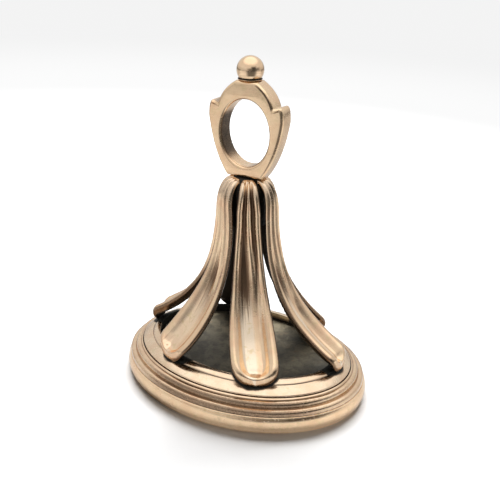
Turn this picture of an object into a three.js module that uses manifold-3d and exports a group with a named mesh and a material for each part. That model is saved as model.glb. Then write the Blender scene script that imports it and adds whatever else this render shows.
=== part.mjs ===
// A fob seal: an oval seal stone in a moulded gold setting, with six spoon-shaped petals that rise
// to a flat bow and a ball. Millimetres, +Z up, +X along the oval's long axis, front towards -Y.
import * as THREE from "three";
import { mergeVertices } from "three/addons/utils/BufferGeometryUtils.js";
import Module from "manifold-3d";

const wasm = await Module();
wasm.setup();

// Driving dimensions

// The films of solder and of cement that keep the pieces apart.
const SOLDER_FILM = 0.05;
const STONE_FILM = 0.075;

// The reference oval: every moulding is this oval, let out or taken in by an offset.
const OVAL_HALF_LENGTH = 13.25;
const OVAL_HALF_WIDTH = 10.0;

const STONE_THICKNESS = 3.6;
const STONE_GIRDLE_OFFSET = -0.75;
const STONE_FACE_OFFSET = -1.75;
const STONE_BACK_OFFSET = -2.0;
const STONE_BEVEL_HEIGHT = 0.9;

const BEZEL_LIFT = 0.16;
const BEZEL_TOP_OFFSET = 0.53;
const BEZEL_FOOT_OFFSET = 0.6;
const BEZEL_BULGE = 0.17;
const BEZEL_CORNER = 0.18;
const BEZEL_LIP_OFFSET = -1.35;
const BEZEL_LIP_THICKNESS = 0.1;

const REED_STEP_IN = 0.08;
const LOWER_REED_RUN = 0.56;
const LOWER_REED_RISE = 0.56;
const UPPER_REED_RUN = 0.58;
const UPPER_REED_RISE = 0.6;
const REED_BULGE = 0.17;
const REED_GROOVE = 0.06;
const FILLET_RUN = 0.24;
const FILLET_RISE = 0.15;
const RABBET_DEPTH = 0.17;
const RABBET_GROOVE = 0.1;

const BAND_RUN = 1.1;
const BAND_RISE = 0.55;
const BAND_BULGE = 0.06;
const BAND_EDGE = 0.3;
const LIP_GROOVE = 0.07;
const LIP_WIDTH = 0.8;
const LIP_RISE = 0.3;
const LIP_BULGE = 0.09;
const LIP_WALL = 0.62;

const NECK_HEIGHT = 23.42;
const NECK_TIP_RADIUS = 1.52;
const NECK_TIP_DROP = 0.04;
const WAIST_DROP = 3.22;
const POST_RADIUS = 2.0;
const POST_TIP_RADIUS = 1.2;
const POST_DOME = 1.2;
const POST_BULGE = 0.13;
const POST_LENGTH = 5.0;

// The two petals at the ends of the oval are narrower, and reach further, than the four at its sides.
// Knee and slope are the two pulls of the curve that takes a petal from its waist to its spoon: a
// radius each, and a height as a share of the way up from the spoon's end to the waist.
const END_PETAL = {
  toeAlong: 0,
  faceTurn: 0,
  waistRadius: 3.2,
  kneeRadius: 3.45,
  kneeShare: 0.557,
  slopeRadius: 4.6,
  slopeShare: 0.285,
  neckWidth: 1.15,
  waistWidth: 2.2,
  kneeWidth: 2.75,
  spoonWidth: 3.6,
};
const SIDE_PETAL = {
  toeAlong: 5.38,
  faceTurn: 10,
  waistRadius: 2.95,
  kneeRadius: 2.65,
  kneeShare: 0.628,
  slopeRadius: 4.0,
  slopeShare: 0.328,
  neckWidth: 1.25,
  waistWidth: 2.3,
  kneeWidth: 3.15,
  spoonWidth: 4.95,
};
const TOE_INSET = 0.55;
const TOE_RUN = 0.75;
const TOE_CLEARANCE = 0.8;
const TOE_UNDERCUT = 0.5;
const SPOON_RISE = 2.75;
const SPOON_END_LENGTH = 2.6;
const SPOON_END_FULLNESS = 2.1;
const NECK_THICKNESS = 0.5;
const TRUNK_THICKNESS = 0.75;
const SPOON_THICKNESS = 1.15;
const TRUNK_ROLL = 0.32;
const SPOON_ROLL = 0.52;
const EDGE_DEPTH = 0.42;
const UNDERSIDE_SHARE = 0.78;
const FLUTE_DEPTH = 0.33;
const BOWL_DEPTH = 0.8;
const FLUTE_SLOPE = 0.55;
const BOWL_SLOPE = 1.2;
const RIDGE_HEIGHT = 0.3;

// Where the parts of a petal begin and end, as shares of its line from the waist to the spoon's end;
// its flutes are full at a share of its line over the neck.
const TRUNK_FULL_AT = 0.45;
const SPOON_STARTS_AT = 0.3;
const SPOON_FULL_AT = 0.97;
const FLUTES_FULL_AT = 0.4;
const RIDGE_FADES_AT = 0.2;
const RIDGE_ENDS_AT = 0.65;

// How far the curves of a petal are pulled, as shares of the lengths beside them.
const NECK_PULL = 0.5;
const SHOULDER_PULL = 0.7;
const TOE_PULL = 0.7;
const TOE_DROP_PULL = 0.6;

// The least a petal's section may shrink to at the toe, the toe's depth as a share of its clearance,
// and the section's shares of the half width.
const TOE_HALF_WIDTH = 0.2;
const TOE_DEPTH_SHARE = 0.9;
const ROLL_SHARE = 0.4;
const CREST_SHARE = 0.3;
const SLOPE_SHARE = 0.8;
const RIDGE_SHARE = 0.45;

const BOW_THICKNESS = 2.05;
const BOW_EDGE = 0.24;
const BOW_HEIGHT = 9.58;
const BOW_HALF_WIDTH = 4.15;
const BOW_FOOT_HALF_WIDTH = 1.98;
const BOW_TOP_HALF_WIDTH = 1.1;
const BOW_NOTCH_HALF_WIDTH = 3.08;
const BOW_ARCH_RISE = 2.36;
const BOW_SHOULDER_RISE = 0.2;
const BOW_CHEEK_DROP = 1.32;
const BOW_SIDE_WALL = 1.5;
const BOW_FOOT_WALL = 1.14;
const BOW_TOP_WALL = 1.76;
const TENON_RADIUS = 0.6;
const TENON_LENGTH = 1.2;
const TENON_ROOT = 0.3;

const COLLAR_RADIUS = 1.2;
const COLLAR_THICKNESS = 0.16;
const COLLAR_EDGE = 0.05;
const BALL_RADIUS = 1.34;
const BALL_DROP = 0.72;
const PEG_RADIUS = 0.4;
const PEG_LENGTH = 0.8;

// The bow's pulls, as shares of its cheek's and its notch's place, and of the arch's rise.
const FLARE_PULL = { x: 0.72, y: 0.22 };
const SWELL_PULL = { x: 0.92, y: 0.57 };
const ARCH_PULL = { x: 0.86, y: 0.62 };
const SHOULDER_SHARE = 0.55;

// Counts of facets

const OVAL_STEPS = 60;
const TURNED_STEPS = 28;
const BALL_STEPS = 11;
const NECK_STATIONS = 4;
const BODY_STATIONS = 13;
const TOE_STATIONS = 6;
const CHANNEL_STEPS = 8;
const ROLL_STEPS = 3;
const FLANK_STEPS = 8;
const SHOULDER_STEPS = 5;
const ARCH_STEPS = 7;
const EYE_STEPS = 18;

// How near two points must be to be one, and how far a cutter runs past what it cuts.
const WELD = 1e-4;
const CUT_MARGIN = 1;

// Places worked out from the sizes

const SEAT_HEIGHT = STONE_THICKNESS + SOLDER_FILM;
const LIP_HEIGHT = SEAT_HEIGHT + LIP_WALL + LIP_RISE - LIP_BULGE;
const BAND_TOP_HEIGHT = LIP_HEIGHT - LIP_RISE - LIP_GROOVE;
const BAND_FOOT_HEIGHT = BAND_TOP_HEIGHT - BAND_RISE;
const RING_FOOT_HEIGHT = BAND_FOOT_HEIGHT - BAND_EDGE;
const RABBET_HEIGHT = RING_FOOT_HEIGHT - SOLDER_FILM;
const FILLET_FOOT_HEIGHT = RABBET_HEIGHT + RABBET_DEPTH - FILLET_RISE;
const MIDDLE_GROOVE_HEIGHT = FILLET_FOOT_HEIGHT - UPPER_REED_RISE;
const MOULDING_FOOT_HEIGHT = MIDDLE_GROOVE_HEIGHT - LOWER_REED_RISE;
const BEZEL_TOP_HEIGHT = MOULDING_FOOT_HEIGHT - SOLDER_FILM;

const BEZEL_SEAT_OFFSET = STONE_GIRDLE_OFFSET + SOLDER_FILM;
const MOULDING_FOOT_OFFSET = BEZEL_TOP_OFFSET - REED_STEP_IN;
const MIDDLE_GROOVE_OFFSET = MOULDING_FOOT_OFFSET - LOWER_REED_RUN;
const FILLET_FOOT_OFFSET = MIDDLE_GROOVE_OFFSET - UPPER_REED_RUN;
const RABBET_OFFSET = FILLET_FOOT_OFFSET - FILLET_RUN;
const BAND_FOOT_OFFSET = RABBET_OFFSET - RABBET_GROOVE;
const BAND_TOP_OFFSET = BAND_FOOT_OFFSET - BAND_RUN;
const RING_BORE_OFFSET = BAND_TOP_OFFSET - LIP_GROOVE - LIP_WIDTH;

const WAIST_HEIGHT = NECK_HEIGHT - WAIST_DROP;
const SPOON_END_HEIGHT = BAND_FOOT_HEIGHT + SPOON_RISE;
const BOW_FOOT_HEIGHT = NECK_HEIGHT + SOLDER_FILM;
const BOW_TOP_HEIGHT = BOW_FOOT_HEIGHT + BOW_HEIGHT;
const COLLAR_HEIGHT = BOW_TOP_HEIGHT + SOLDER_FILM;
const BALL_SEAT_HEIGHT = COLLAR_HEIGHT + COLLAR_THICKNESS + SOLDER_FILM;

// Skins and solids

function facingOut(geometry) {
  const at = geometry.attributes.position;
  const index = geometry.index.array;
  const a = new THREE.Vector3();
  const b = new THREE.Vector3();
  const c = new THREE.Vector3();
  let volume = 0;
  for (let i = 0; i < index.length; i += 3) {
    a.fromBufferAttribute(at, index[i]);
    b.fromBufferAttribute(at, index[i + 1]);
    c.fromBufferAttribute(at, index[i + 2]);
    volume += a.dot(b.cross(c));
  }
  if (volume < 0) index.reverse();
  geometry.computeVertexNormals();
  return geometry;
}

// A skin through rings of equally many points. It closes on itself, or ends in a point at each end.
function skinOf(rings, endPoints) {
  const count = rings[0].length;
  const points = rings.flat();
  const index = [];
  const spans = endPoints ? rings.length - 1 : rings.length;
  for (let i = 0; i < spans; i += 1) {
    const here = i * count;
    const there = ((i + 1) % rings.length) * count;
    for (let j = 0; j < count; j += 1) {
      const next = (j + 1) % count;
      index.push(here + j, here + next, there + j);
      index.push(there + j, here + next, there + next);
    }
  }
  if (endPoints) {
    const first = points.length;
    const last = first + 1;
    const lastRing = (rings.length - 1) * count;
    points.push(...endPoints);
    for (let j = 0; j < count; j += 1) {
      const next = (j + 1) % count;
      index.push(first, next, j);
      index.push(last, lastRing + j, lastRing + next);
    }
  }
  const geometry = new THREE.BufferGeometry().setFromPoints(points);
  geometry.setIndex(index);
  return facingOut(geometry);
}

function solidOf(geometry) {
  const bare = geometry.clone();
  bare.deleteAttribute("normal");
  bare.deleteAttribute("uv");
  const merged = mergeVertices(bare, WELD);
  const vertProperties = merged.attributes.position.array;
  const triVerts = new Uint32Array(merged.index.array);
  return new wasm.Manifold(new wasm.Mesh({ numProp: 3, vertProperties, triVerts }));
}

function geometryOf(solid) {
  const { vertProperties, triVerts } = solid.getMesh();
  const geometry = new THREE.BufferGeometry();
  geometry.setAttribute("position", new THREE.BufferAttribute(vertProperties, 3));
  geometry.setIndex(new THREE.BufferAttribute(triVerts, 1));
  geometry.computeVertexNormals();
  return geometry;
}

// A piece turned about the vertical axis, from a profile of [radius, height] pairs.
function turned(profile) {
  const outline = profile.map(([radius, height]) => new THREE.Vector2(radius, height));
  const geometry = new THREE.LatheGeometry(outline, TURNED_STEPS);
  geometry.deleteAttribute("normal");
  geometry.deleteAttribute("uv");
  return facingOut(mergeVertices(geometry.rotateX(Math.PI / 2), WELD));
}

// The oval and its mouldings

function ovalPoint(offset, angle, height) {
  const x = (OVAL_HALF_LENGTH + offset) * Math.cos(angle);
  const y = (OVAL_HALF_WIDTH + offset) * Math.sin(angle);
  return new THREE.Vector3(x, y, height);
}

function ovalRings(profile) {
  return Array.from({ length: OVAL_STEPS }, (_, i) => {
    const angle = (2 * Math.PI * i) / OVAL_STEPS;
    return profile.map(([offset, height]) => ovalPoint(offset, angle, height));
  });
}

// How far a quarter of a circle swells past its chord, for a radius of one.
const QUARTER_ROUND = 1 - Math.SQRT1_2;

// The points of an arc from one [offset, height] to another, which swells by its bulge to the right.
function bulging(from, to, bulge, steps) {
  const [x0, z0] = from;
  const [x1, z1] = to;
  const length = Math.hypot(x1 - x0, z1 - z0);
  return Array.from({ length: steps + 1 }, (_, i) => {
    const share = i / steps;
    const swell = (4 * share * (1 - share) * bulge) / length;
    return [
      x0 + (x1 - x0) * share + (z1 - z0) * swell,
      z0 + (z1 - z0) * share - (x1 - x0) * swell,
    ];
  });
}

// How far out the stone's tapered back edge stands at a height.
function stoneEdge(height) {
  const share = (height - BEZEL_TOP_HEIGHT) / (STONE_THICKNESS - BEZEL_TOP_HEIGHT);
  const taper = THREE.MathUtils.clamp(share, 0, 1);
  return THREE.MathUtils.lerp(STONE_GIRDLE_OFFSET, STONE_BACK_OFFSET, taper);
}

function stoneWall(height) {
  return [stoneEdge(height) + STONE_FILM, height];
}

function sealStone() {
  const levels = [
    [STONE_FACE_OFFSET, 0],
    [STONE_GIRDLE_OFFSET, STONE_BEVEL_HEIGHT],
    [STONE_GIRDLE_OFFSET, BEZEL_TOP_HEIGHT],
    [STONE_BACK_OFFSET, STONE_THICKNESS],
  ];
  const rings = levels.map(([offset, height]) =>
    Array.from({ length: OVAL_STEPS }, (_, i) =>
      ovalPoint(offset, (2 * Math.PI * i) / OVAL_STEPS, height),
    ),
  );
  const middles = [new THREE.Vector3(0, 0, 0), new THREE.Vector3(0, 0, STONE_THICKNESS)];
  return skinOf(rings, middles);
}

function bezelRing() {
  const wallFoot = [BEZEL_FOOT_OFFSET, BEZEL_LIFT + BEZEL_CORNER];
  const wallTop = [BEZEL_TOP_OFFSET, BEZEL_TOP_HEIGHT];
  const under = [BEZEL_FOOT_OFFSET - BEZEL_CORNER, BEZEL_LIFT];
  const profile = [
    ...bulging(under, wallFoot, QUARTER_ROUND * BEZEL_CORNER, 2),
    ...bulging(wallFoot, wallTop, BEZEL_BULGE, 4).slice(1),
    [BEZEL_SEAT_OFFSET, BEZEL_TOP_HEIGHT],
    [BEZEL_SEAT_OFFSET, STONE_BEVEL_HEIGHT],
    [BEZEL_LIP_OFFSET + SOLDER_FILM, BEZEL_LIFT + 2 * BEZEL_LIP_THICKNESS],
    [BEZEL_LIP_OFFSET, BEZEL_LIFT + BEZEL_LIP_THICKNESS],
  ];
  return skinOf(ovalRings(profile));
}

function mouldedRing() {
  const foot = [MOULDING_FOOT_OFFSET, MOULDING_FOOT_HEIGHT];
  const groove = [MIDDLE_GROOVE_OFFSET, MIDDLE_GROOVE_HEIGHT];
  const fillet = [FILLET_FOOT_OFFSET, FILLET_FOOT_HEIGHT];
  const profile = [
    ...bulging(foot, groove, REED_BULGE, 4),
    ...bulging([groove[0] - REED_GROOVE, groove[1]], fillet, REED_BULGE, 4),
    [fillet[0] - REED_GROOVE, fillet[1]],
    [RABBET_OFFSET, RABBET_HEIGHT + RABBET_DEPTH],
    [RABBET_OFFSET, RABBET_HEIGHT],
    stoneWall(RABBET_HEIGHT),
    stoneWall(MOULDING_FOOT_HEIGHT),
  ];
  return skinOf(ovalRings(profile));
}

// The top ring's profile, grown by a clearance on its upper side where it cuts its neighbours.
function topRingProfile(clearance) {
  const bandFoot = [BAND_FOOT_OFFSET + clearance, BAND_FOOT_HEIGHT + clearance];
  const bandTop = [BAND_TOP_OFFSET, BAND_TOP_HEIGHT + clearance];
  const lipFoot = [BAND_TOP_OFFSET - LIP_GROOVE, BAND_TOP_HEIGHT + LIP_GROOVE + clearance];
  const lipTop = [RING_BORE_OFFSET - clearance, LIP_HEIGHT + clearance];
  return [
    [BAND_FOOT_OFFSET + clearance, RING_FOOT_HEIGHT],
    ...bulging(bandFoot, bandTop, BAND_BULGE, 3),
    ...bulging(lipFoot, lipTop, LIP_BULGE, 3),
    [RING_BORE_OFFSET - clearance, SEAT_HEIGHT],
    stoneWall(STONE_THICKNESS).with(1, SEAT_HEIGHT),
    stoneWall(RING_FOOT_HEIGHT),
  ];
}

function topRing(clearance = 0) {
  return skinOf(ovalRings(topRingProfile(clearance)));
}

// The petals

// A petal's toe stands just inside the foot of the top ring's band.
function toeOf(kind) {
  const offset = BAND_FOOT_OFFSET - TOE_INSET;
  const halfLength = OVAL_HALF_LENGTH + offset;
  const across = (OVAL_HALF_WIDTH + offset) * Math.sqrt(1 - (kind.toeAlong / halfLength) ** 2);
  if (kind.toeAlong === 0) return new THREE.Vector2(halfLength, 0);
  return new THREE.Vector2(kind.toeAlong, across);
}

// The outer line of a petal as three curves of radius and height: over the neck, down the trunk and
// along the spoon, and down over the toe.
function petalCurves(kind) {
  const reach = toeOf(kind).length();
  const neckTip = new THREE.Vector2(NECK_TIP_RADIUS, NECK_HEIGHT - NECK_TIP_DROP);
  const waist = new THREE.Vector2(kind.waistRadius, WAIST_HEIGHT);
  const heightAt = (share) => THREE.MathUtils.lerp(SPOON_END_HEIGHT, WAIST_HEIGHT, share);
  const knee = new THREE.Vector2(kind.kneeRadius, heightAt(kind.kneeShare));
  const slope = new THREE.Vector2(kind.slopeRadius, heightAt(kind.slopeShare));
  const spoonEnd = new THREE.Vector2(reach - TOE_RUN, SPOON_END_HEIGHT);
  const toeTip = new THREE.Vector2(reach, BAND_FOOT_HEIGHT + TOE_CLEARANCE);
  const rise = waist.clone().sub(knee).setLength(SHOULDER_PULL * (neckTip.y - waist.y)).add(waist);
  const overNeck = neckTip.clone().setX(THREE.MathUtils.lerp(neckTip.x, waist.x, NECK_PULL));
  const run = spoonEnd.clone().sub(slope).setLength(TOE_PULL * TOE_RUN).add(spoonEnd);
  const overToe = toeTip.clone().lerp(spoonEnd, TOE_DROP_PULL).setX(toeTip.x);
  return [
    [new THREE.CubicBezierCurve(neckTip, overNeck, rise, waist), NECK_STATIONS],
    [new THREE.CubicBezierCurve(waist, knee, slope, spoonEnd), BODY_STATIONS],
    [new THREE.CubicBezierCurve(spoonEnd, run, overToe, toeTip), TOE_STATIONS],
  ];
}

// The stations of a petal, from the neck to the toe. Each has its outer point, the way down through
// the metal, and the part of the petal that it is in.
function petalStations(kind) {
  const stations = [];
  petalCurves(kind).forEach(([curve, count], part) => {
    for (let i = part === 0 ? 0 : 1; i <= count; i += 1) {
      const share = part === 2 ? Math.sin((0.5 * Math.PI * i) / count) : i / count;
      const outer = curve.getPoint(share);
      const along = curve.getTangent(share);
      const down = new THREE.Vector2(along.y, -along.x);
      stations.push({ outer, down, part, share });
    }
  });
  const spoon = stations.findLast(({ part }) => part === 1).down;
  const toes = stations.filter(({ part }) => part === 2);
  toes.forEach(({ down, share }) => {
    down.copy(spoon).lerp(new THREE.Vector2(-TOE_UNDERCUT, -1), share).normalize();
  });
  let toTip = 0;
  for (let i = stations.length - 1; i >= 0; i -= 1) {
    if (i < stations.length - 1) toTip += stations[i].outer.distanceTo(stations[i + 1].outer);
    stations[i].toTip = toTip;
  }
  return stations;
}

// The full end of an oval: 0 at the tip, 1 from the given length on.
function rounding(distance, length) {
  const toGo = 1 - THREE.MathUtils.clamp(distance / length, 0, 1);
  return (1 - toGo ** SPOON_END_FULLNESS) ** (1 / SPOON_END_FULLNESS);
}

function petalSizes(kind, { part, share, toTip }) {
  const { lerp, smoothstep } = THREE.MathUtils;
  const neckShare = part === 0 ? share : 1;
  const bodyShare = [0, share, 1][part];
  const trunkShare = smoothstep(bodyShare, 0, TRUNK_FULL_AT);
  const spoonShare = smoothstep(bodyShare, SPOON_STARTS_AT, SPOON_FULL_AT);
  const trunkWidth = lerp(kind.waistWidth, kind.kneeWidth, trunkShare);
  const fullWidth = lerp(lerp(kind.neckWidth, trunkWidth, neckShare), kind.spoonWidth, spoonShare);
  const half = Math.max((fullWidth / 2) * rounding(toTip, SPOON_END_LENGTH), TOE_HALF_WIDTH);
  const roll = Math.min(lerp(TRUNK_ROLL, SPOON_ROLL, spoonShare), ROLL_SHARE * half);
  const bowlEnd = rounding(toTip - roll, SPOON_END_LENGTH - roll);
  const crest = Math.max((fullWidth / 2 - roll) * bowlEnd, CREST_SHARE * half);
  const trunkThickness = lerp(NECK_THICKNESS, TRUNK_THICKNESS, neckShare);
  const spoonThickness = lerp(trunkThickness, SPOON_THICKNESS, spoonShare);
  const toeThickness = TOE_DEPTH_SHARE * TOE_CLEARANCE;
  const fluteShare = smoothstep(neckShare, 0, FLUTES_FULL_AT);
  const endShare = smoothstep(toTip - roll, 0, BOWL_SLOPE);
  return {
    half,
    crest: Math.min(crest, half - ROLL_SHARE * roll),
    thickness: lerp(spoonThickness, toeThickness, part === 2 ? share : 0),
    dish: lerp(FLUTE_DEPTH * fluteShare, BOWL_DEPTH, spoonShare) * endShare,
    slope: lerp(FLUTE_SLOPE, BOWL_SLOPE, spoonShare),
    ridge: RIDGE_HEIGHT * fluteShare * (1 - smoothstep(bodyShare, RIDGE_FADES_AT, RIDGE_ENDS_AT)),
  };
}

// A petal's section as [across, down] pairs: the dished channel, the rolled edge on each side, and
// a plain narrower underside.
function petalSection({ half, crest, thickness, dish, slope, ridge }) {
  const side = Math.min(slope, SLOPE_SHARE * crest);
  const channel = Array.from({ length: CHANNEL_STEPS + 1 }, (_, i) => {
    const across = crest * ((2 * i) / CHANNEL_STEPS - 1);
    const bowl = THREE.MathUtils.smoothstep(crest - Math.abs(across), 0, side);
    const middle = Math.max(0, 1 - Math.abs(across) / (RIDGE_SHARE * crest));
    return [across, dish * bowl - ridge * middle];
  });
  const edge = Array.from({ length: ROLL_STEPS }, (_, i) => {
    const turn = (0.5 * Math.PI * (i + 1)) / ROLL_STEPS;
    return [crest + (half - crest) * Math.sin(turn), EDGE_DEPTH * (1 - Math.cos(turn))];
  });
  const corner = [UNDERSIDE_SHARE * half, thickness];
  const right = [...edge, corner];
  const left = right.map(([across, down]) => [-across, down]).reverse();
  return [...channel, ...right, ...left];
}

// A petal whose tip lies at one angle round the neck and whose toe stands on the oval.
function petalBody(kind, neckAngle, mirrorX, mirrorY) {
  const toe = toeOf(kind);
  const toeAngle = toe.angle();
  const turnBy = THREE.MathUtils.degToRad(kind.faceTurn);
  const rings = petalStations(kind).map((station) => {
    const { outer, down } = station;
    const share = (NECK_HEIGHT - outer.y) / (NECK_HEIGHT - SPOON_END_HEIGHT);
    const downward = THREE.MathUtils.clamp(share, 0, 1);
    const face = THREE.MathUtils.lerp(neckAngle, toeAngle + turnBy, downward);
    const along = THREE.MathUtils.lerp(neckAngle, toeAngle, downward);
    return petalSection(petalSizes(kind, station)).map(([across, depth]) => {
      const inward = depth * down.x;
      const x = outer.x * Math.cos(along) + inward * Math.cos(face) - across * Math.sin(face);
      const y = outer.x * Math.sin(along) + inward * Math.sin(face) + across * Math.cos(face);
      return new THREE.Vector3(mirrorX * x, mirrorY * y, outer.y + depth * down.y);
    });
  });
  const middleOf = (ring) =>
    ring.reduce((sum, at) => sum.add(at), new THREE.Vector3()).divideScalar(ring.length);
  return skinOf(rings, [middleOf(rings[0]), middleOf(rings.at(-1))]);
}

// The neck

// The post's profile, grown by a clearance where it cuts the petals round it.
function postProfile(clearance) {
  const foot = NECK_HEIGHT - POST_LENGTH - clearance;
  const dome = [POST_RADIUS + clearance, NECK_HEIGHT - POST_DOME];
  const tip = [POST_TIP_RADIUS + clearance, NECK_HEIGHT];
  return [
    [0, foot],
    [POST_RADIUS + clearance, foot],
    ...bulging(dome, tip, POST_BULGE, 3),
    [0, NECK_HEIGHT],
  ];
}

function rod(radius, from, to) {
  return solidOf(turned([[0, from], [radius, from], [radius, to], [0, to]]));
}

function neckPost() {
  const bore = rod(
    TENON_RADIUS + SOLDER_FILM,
    BOW_FOOT_HEIGHT - TENON_LENGTH - SOLDER_FILM,
    NECK_HEIGHT + CUT_MARGIN,
  );
  return geometryOf(solidOf(turned(postProfile(0))).subtract(bore));
}

// The bow

// The outline's right half goes up the flank, round the shoulder into the notch, and over the arch.
function bowOutline() {
  const notch = new THREE.Vector2(BOW_NOTCH_HALF_WIDTH, BOW_HEIGHT - BOW_ARCH_RISE);
  const cheek = new THREE.Vector2(BOW_HALF_WIDTH, notch.y - BOW_CHEEK_DROP);
  const shoulder = new THREE.Vector2(
    THREE.MathUtils.lerp(notch.x, cheek.x, SHOULDER_SHARE),
    notch.y + BOW_SHOULDER_RISE,
  );
  const corner = new THREE.Vector2(cheek.x, shoulder.y);
  const foot = new THREE.Vector2(BOW_FOOT_HALF_WIDTH, 0);
  const flare = new THREE.Vector2(FLARE_PULL.x * cheek.x, FLARE_PULL.y * cheek.y);
  const swell = new THREE.Vector2(SWELL_PULL.x * cheek.x, SWELL_PULL.y * cheek.y);
  const archTop = new THREE.Vector2(BOW_TOP_HALF_WIDTH, BOW_HEIGHT);
  const archPull = new THREE.Vector2(
    ARCH_PULL.x * notch.x,
    THREE.MathUtils.lerp(notch.y, archTop.y, ARCH_PULL.y),
  );
  const right = [
    ...new THREE.CubicBezierCurve(foot, flare, swell, cheek).getPoints(FLANK_STEPS),
    ...new THREE.QuadraticBezierCurve(cheek, corner, shoulder).getPoints(SHOULDER_STEPS).slice(1),
    ...new THREE.QuadraticBezierCurve(notch, archPull, archTop).getPoints(ARCH_STEPS),
  ];
  const left = right.map(({ x, y }) => new THREE.Vector2(-x, y)).reverse();
  const outline = new THREE.Shape([...right, ...left]);
  const eyeFoot = BOW_FOOT_WALL;
  const eyeTop = BOW_HEIGHT - BOW_TOP_WALL;
  const middle = (eyeFoot + eyeTop) / 2;
  const eye = new THREE.Path();
  eye.absellipse(0, middle, BOW_HALF_WIDTH - BOW_SIDE_WALL, eyeTop - middle, 0, 2 * Math.PI, true);
  outline.holes.push(eye);
  return outline;
}

function bowPlate() {
  const plate = new THREE.ExtrudeGeometry(bowOutline(), {
    depth: BOW_THICKNESS - 2 * BOW_EDGE,
    bevelThickness: BOW_EDGE,
    bevelSize: BOW_EDGE,
    bevelOffset: -BOW_EDGE,
    bevelSegments: 2,
    curveSegments: EYE_STEPS,
  });
  plate.translate(0, 0, BOW_EDGE - BOW_THICKNESS / 2);
  plate.rotateX(Math.PI / 2);
  plate.translate(0, 0, BOW_FOOT_HEIGHT);
  const tenon = rod(TENON_RADIUS, BOW_FOOT_HEIGHT - TENON_LENGTH, BOW_FOOT_HEIGHT + TENON_ROOT);
  const pegHole = rod(
    PEG_RADIUS + SOLDER_FILM,
    BOW_TOP_HEIGHT - PEG_LENGTH - SOLDER_FILM,
    BOW_TOP_HEIGHT + CUT_MARGIN,
  );
  return geometryOf(solidOf(plate).add(tenon).subtract(pegHole));
}

// The finial

function finialCollar() {
  const top = COLLAR_HEIGHT + COLLAR_THICKNESS;
  const disc = [
    [0, COLLAR_HEIGHT],
    [COLLAR_RADIUS - COLLAR_EDGE, COLLAR_HEIGHT],
    [COLLAR_RADIUS, COLLAR_HEIGHT + COLLAR_EDGE],
    [COLLAR_RADIUS, top - COLLAR_EDGE],
    [COLLAR_RADIUS - COLLAR_EDGE, top],
    [0, top],
  ];
  const hole = rod(PEG_RADIUS + SOLDER_FILM, COLLAR_HEIGHT - CUT_MARGIN, top + CUT_MARGIN);
  return geometryOf(solidOf(turned(disc)).subtract(hole));
}

function ballFinial() {
  const middle = BALL_SEAT_HEIGHT + BALL_DROP;
  const seatTurn = Math.asin(BALL_DROP / BALL_RADIUS);
  const ball = Array.from({ length: BALL_STEPS }, (_, i) => {
    const turn = THREE.MathUtils.lerp(-seatTurn, Math.PI / 2, i / BALL_STEPS);
    return [BALL_RADIUS * Math.cos(turn), middle + BALL_RADIUS * Math.sin(turn)];
  });
  const pole = [0, middle + BALL_RADIUS];
  const pegFoot = BOW_TOP_HEIGHT - PEG_LENGTH;
  const peg = [[0, pegFoot], [PEG_RADIUS, pegFoot], [PEG_RADIUS, BALL_SEAT_HEIGHT]];
  return turned([...peg, ...ball, pole]);
}

// The object

const seal = new THREE.Group();

function place(name, geometry, finish) {
  const mesh = new THREE.Mesh(geometry, new THREE.MeshStandardMaterial(finish));
  mesh.name = name;
  seal.add(mesh);
}

const ROLLED_GOLD = { color: 0xc8a582, roughness: 0.28, metalness: 1 };
const DARK_STONE = { color: 0x3b3f37, roughness: 0.6, metalness: 0 };

place("seal_stone", sealStone(), DARK_STONE);
place("bezel", bezelRing(), ROLLED_GOLD);
place("moulded_ring", mouldedRing(), ROLLED_GOLD);
place("top_ring", topRing(), ROLLED_GOLD);

const ringClearance = solidOf(topRing(SOLDER_FILM));
const postClearance = solidOf(turned(postProfile(SOLDER_FILM)));
const sideNeckAngle = Math.PI / 3;
const petals = [
  ["petal_right", END_PETAL, 0, 1, 1],
  ["petal_right_back", SIDE_PETAL, sideNeckAngle, 1, 1],
  ["petal_left_back", SIDE_PETAL, sideNeckAngle, -1, 1],
  ["petal_left", END_PETAL, 0, -1, 1],
  ["petal_left_front", SIDE_PETAL, sideNeckAngle, -1, -1],
  ["petal_right_front", SIDE_PETAL, sideNeckAngle, 1, -1],
];
petals.forEach(([name, kind, neckAngle, mirrorX, mirrorY]) => {
  const whole = solidOf(petalBody(kind, neckAngle, mirrorX, mirrorY));
  place(name, geometryOf(whole.subtract(ringClearance).subtract(postClearance)), ROLLED_GOLD);
});

place("neck_post", neckPost(), ROLLED_GOLD);
place("bow", bowPlate(), ROLLED_GOLD);
place("finial_collar", finialCollar(), ROLLED_GOLD);
place("ball_finial", ballFinial(), ROLLED_GOLD);

export default seal;
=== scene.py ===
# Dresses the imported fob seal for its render. Each piece is made again in its CAD piece's place, with
# smooth curves, and gets its worn rolled gold, its tarnish or its stone. Everything is in metres, in
# the row frame: +Z up, +X along the oval's long axis, front towards -Y.
import math

import bmesh
import bpy
from mathutils import Matrix, Vector


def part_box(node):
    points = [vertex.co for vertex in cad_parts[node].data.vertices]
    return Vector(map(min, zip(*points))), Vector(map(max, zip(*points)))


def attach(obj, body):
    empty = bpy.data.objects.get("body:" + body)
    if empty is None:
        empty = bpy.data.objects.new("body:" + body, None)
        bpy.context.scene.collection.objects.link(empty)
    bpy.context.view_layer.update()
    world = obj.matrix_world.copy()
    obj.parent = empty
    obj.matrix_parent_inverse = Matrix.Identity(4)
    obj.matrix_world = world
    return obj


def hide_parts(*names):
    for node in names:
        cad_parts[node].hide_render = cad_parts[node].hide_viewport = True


bl_info = {
    "name": "Fob Seal",
    "version": (1, 0, 0),
    "blender": (4, 5, 0),
    "location": "View3D > Sidebar > Fob Seal",
    "description": "Builds an oval fob seal with a stone, a reeded setting, dished petals and a bow",
    "category": "Add Mesh",
}

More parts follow.
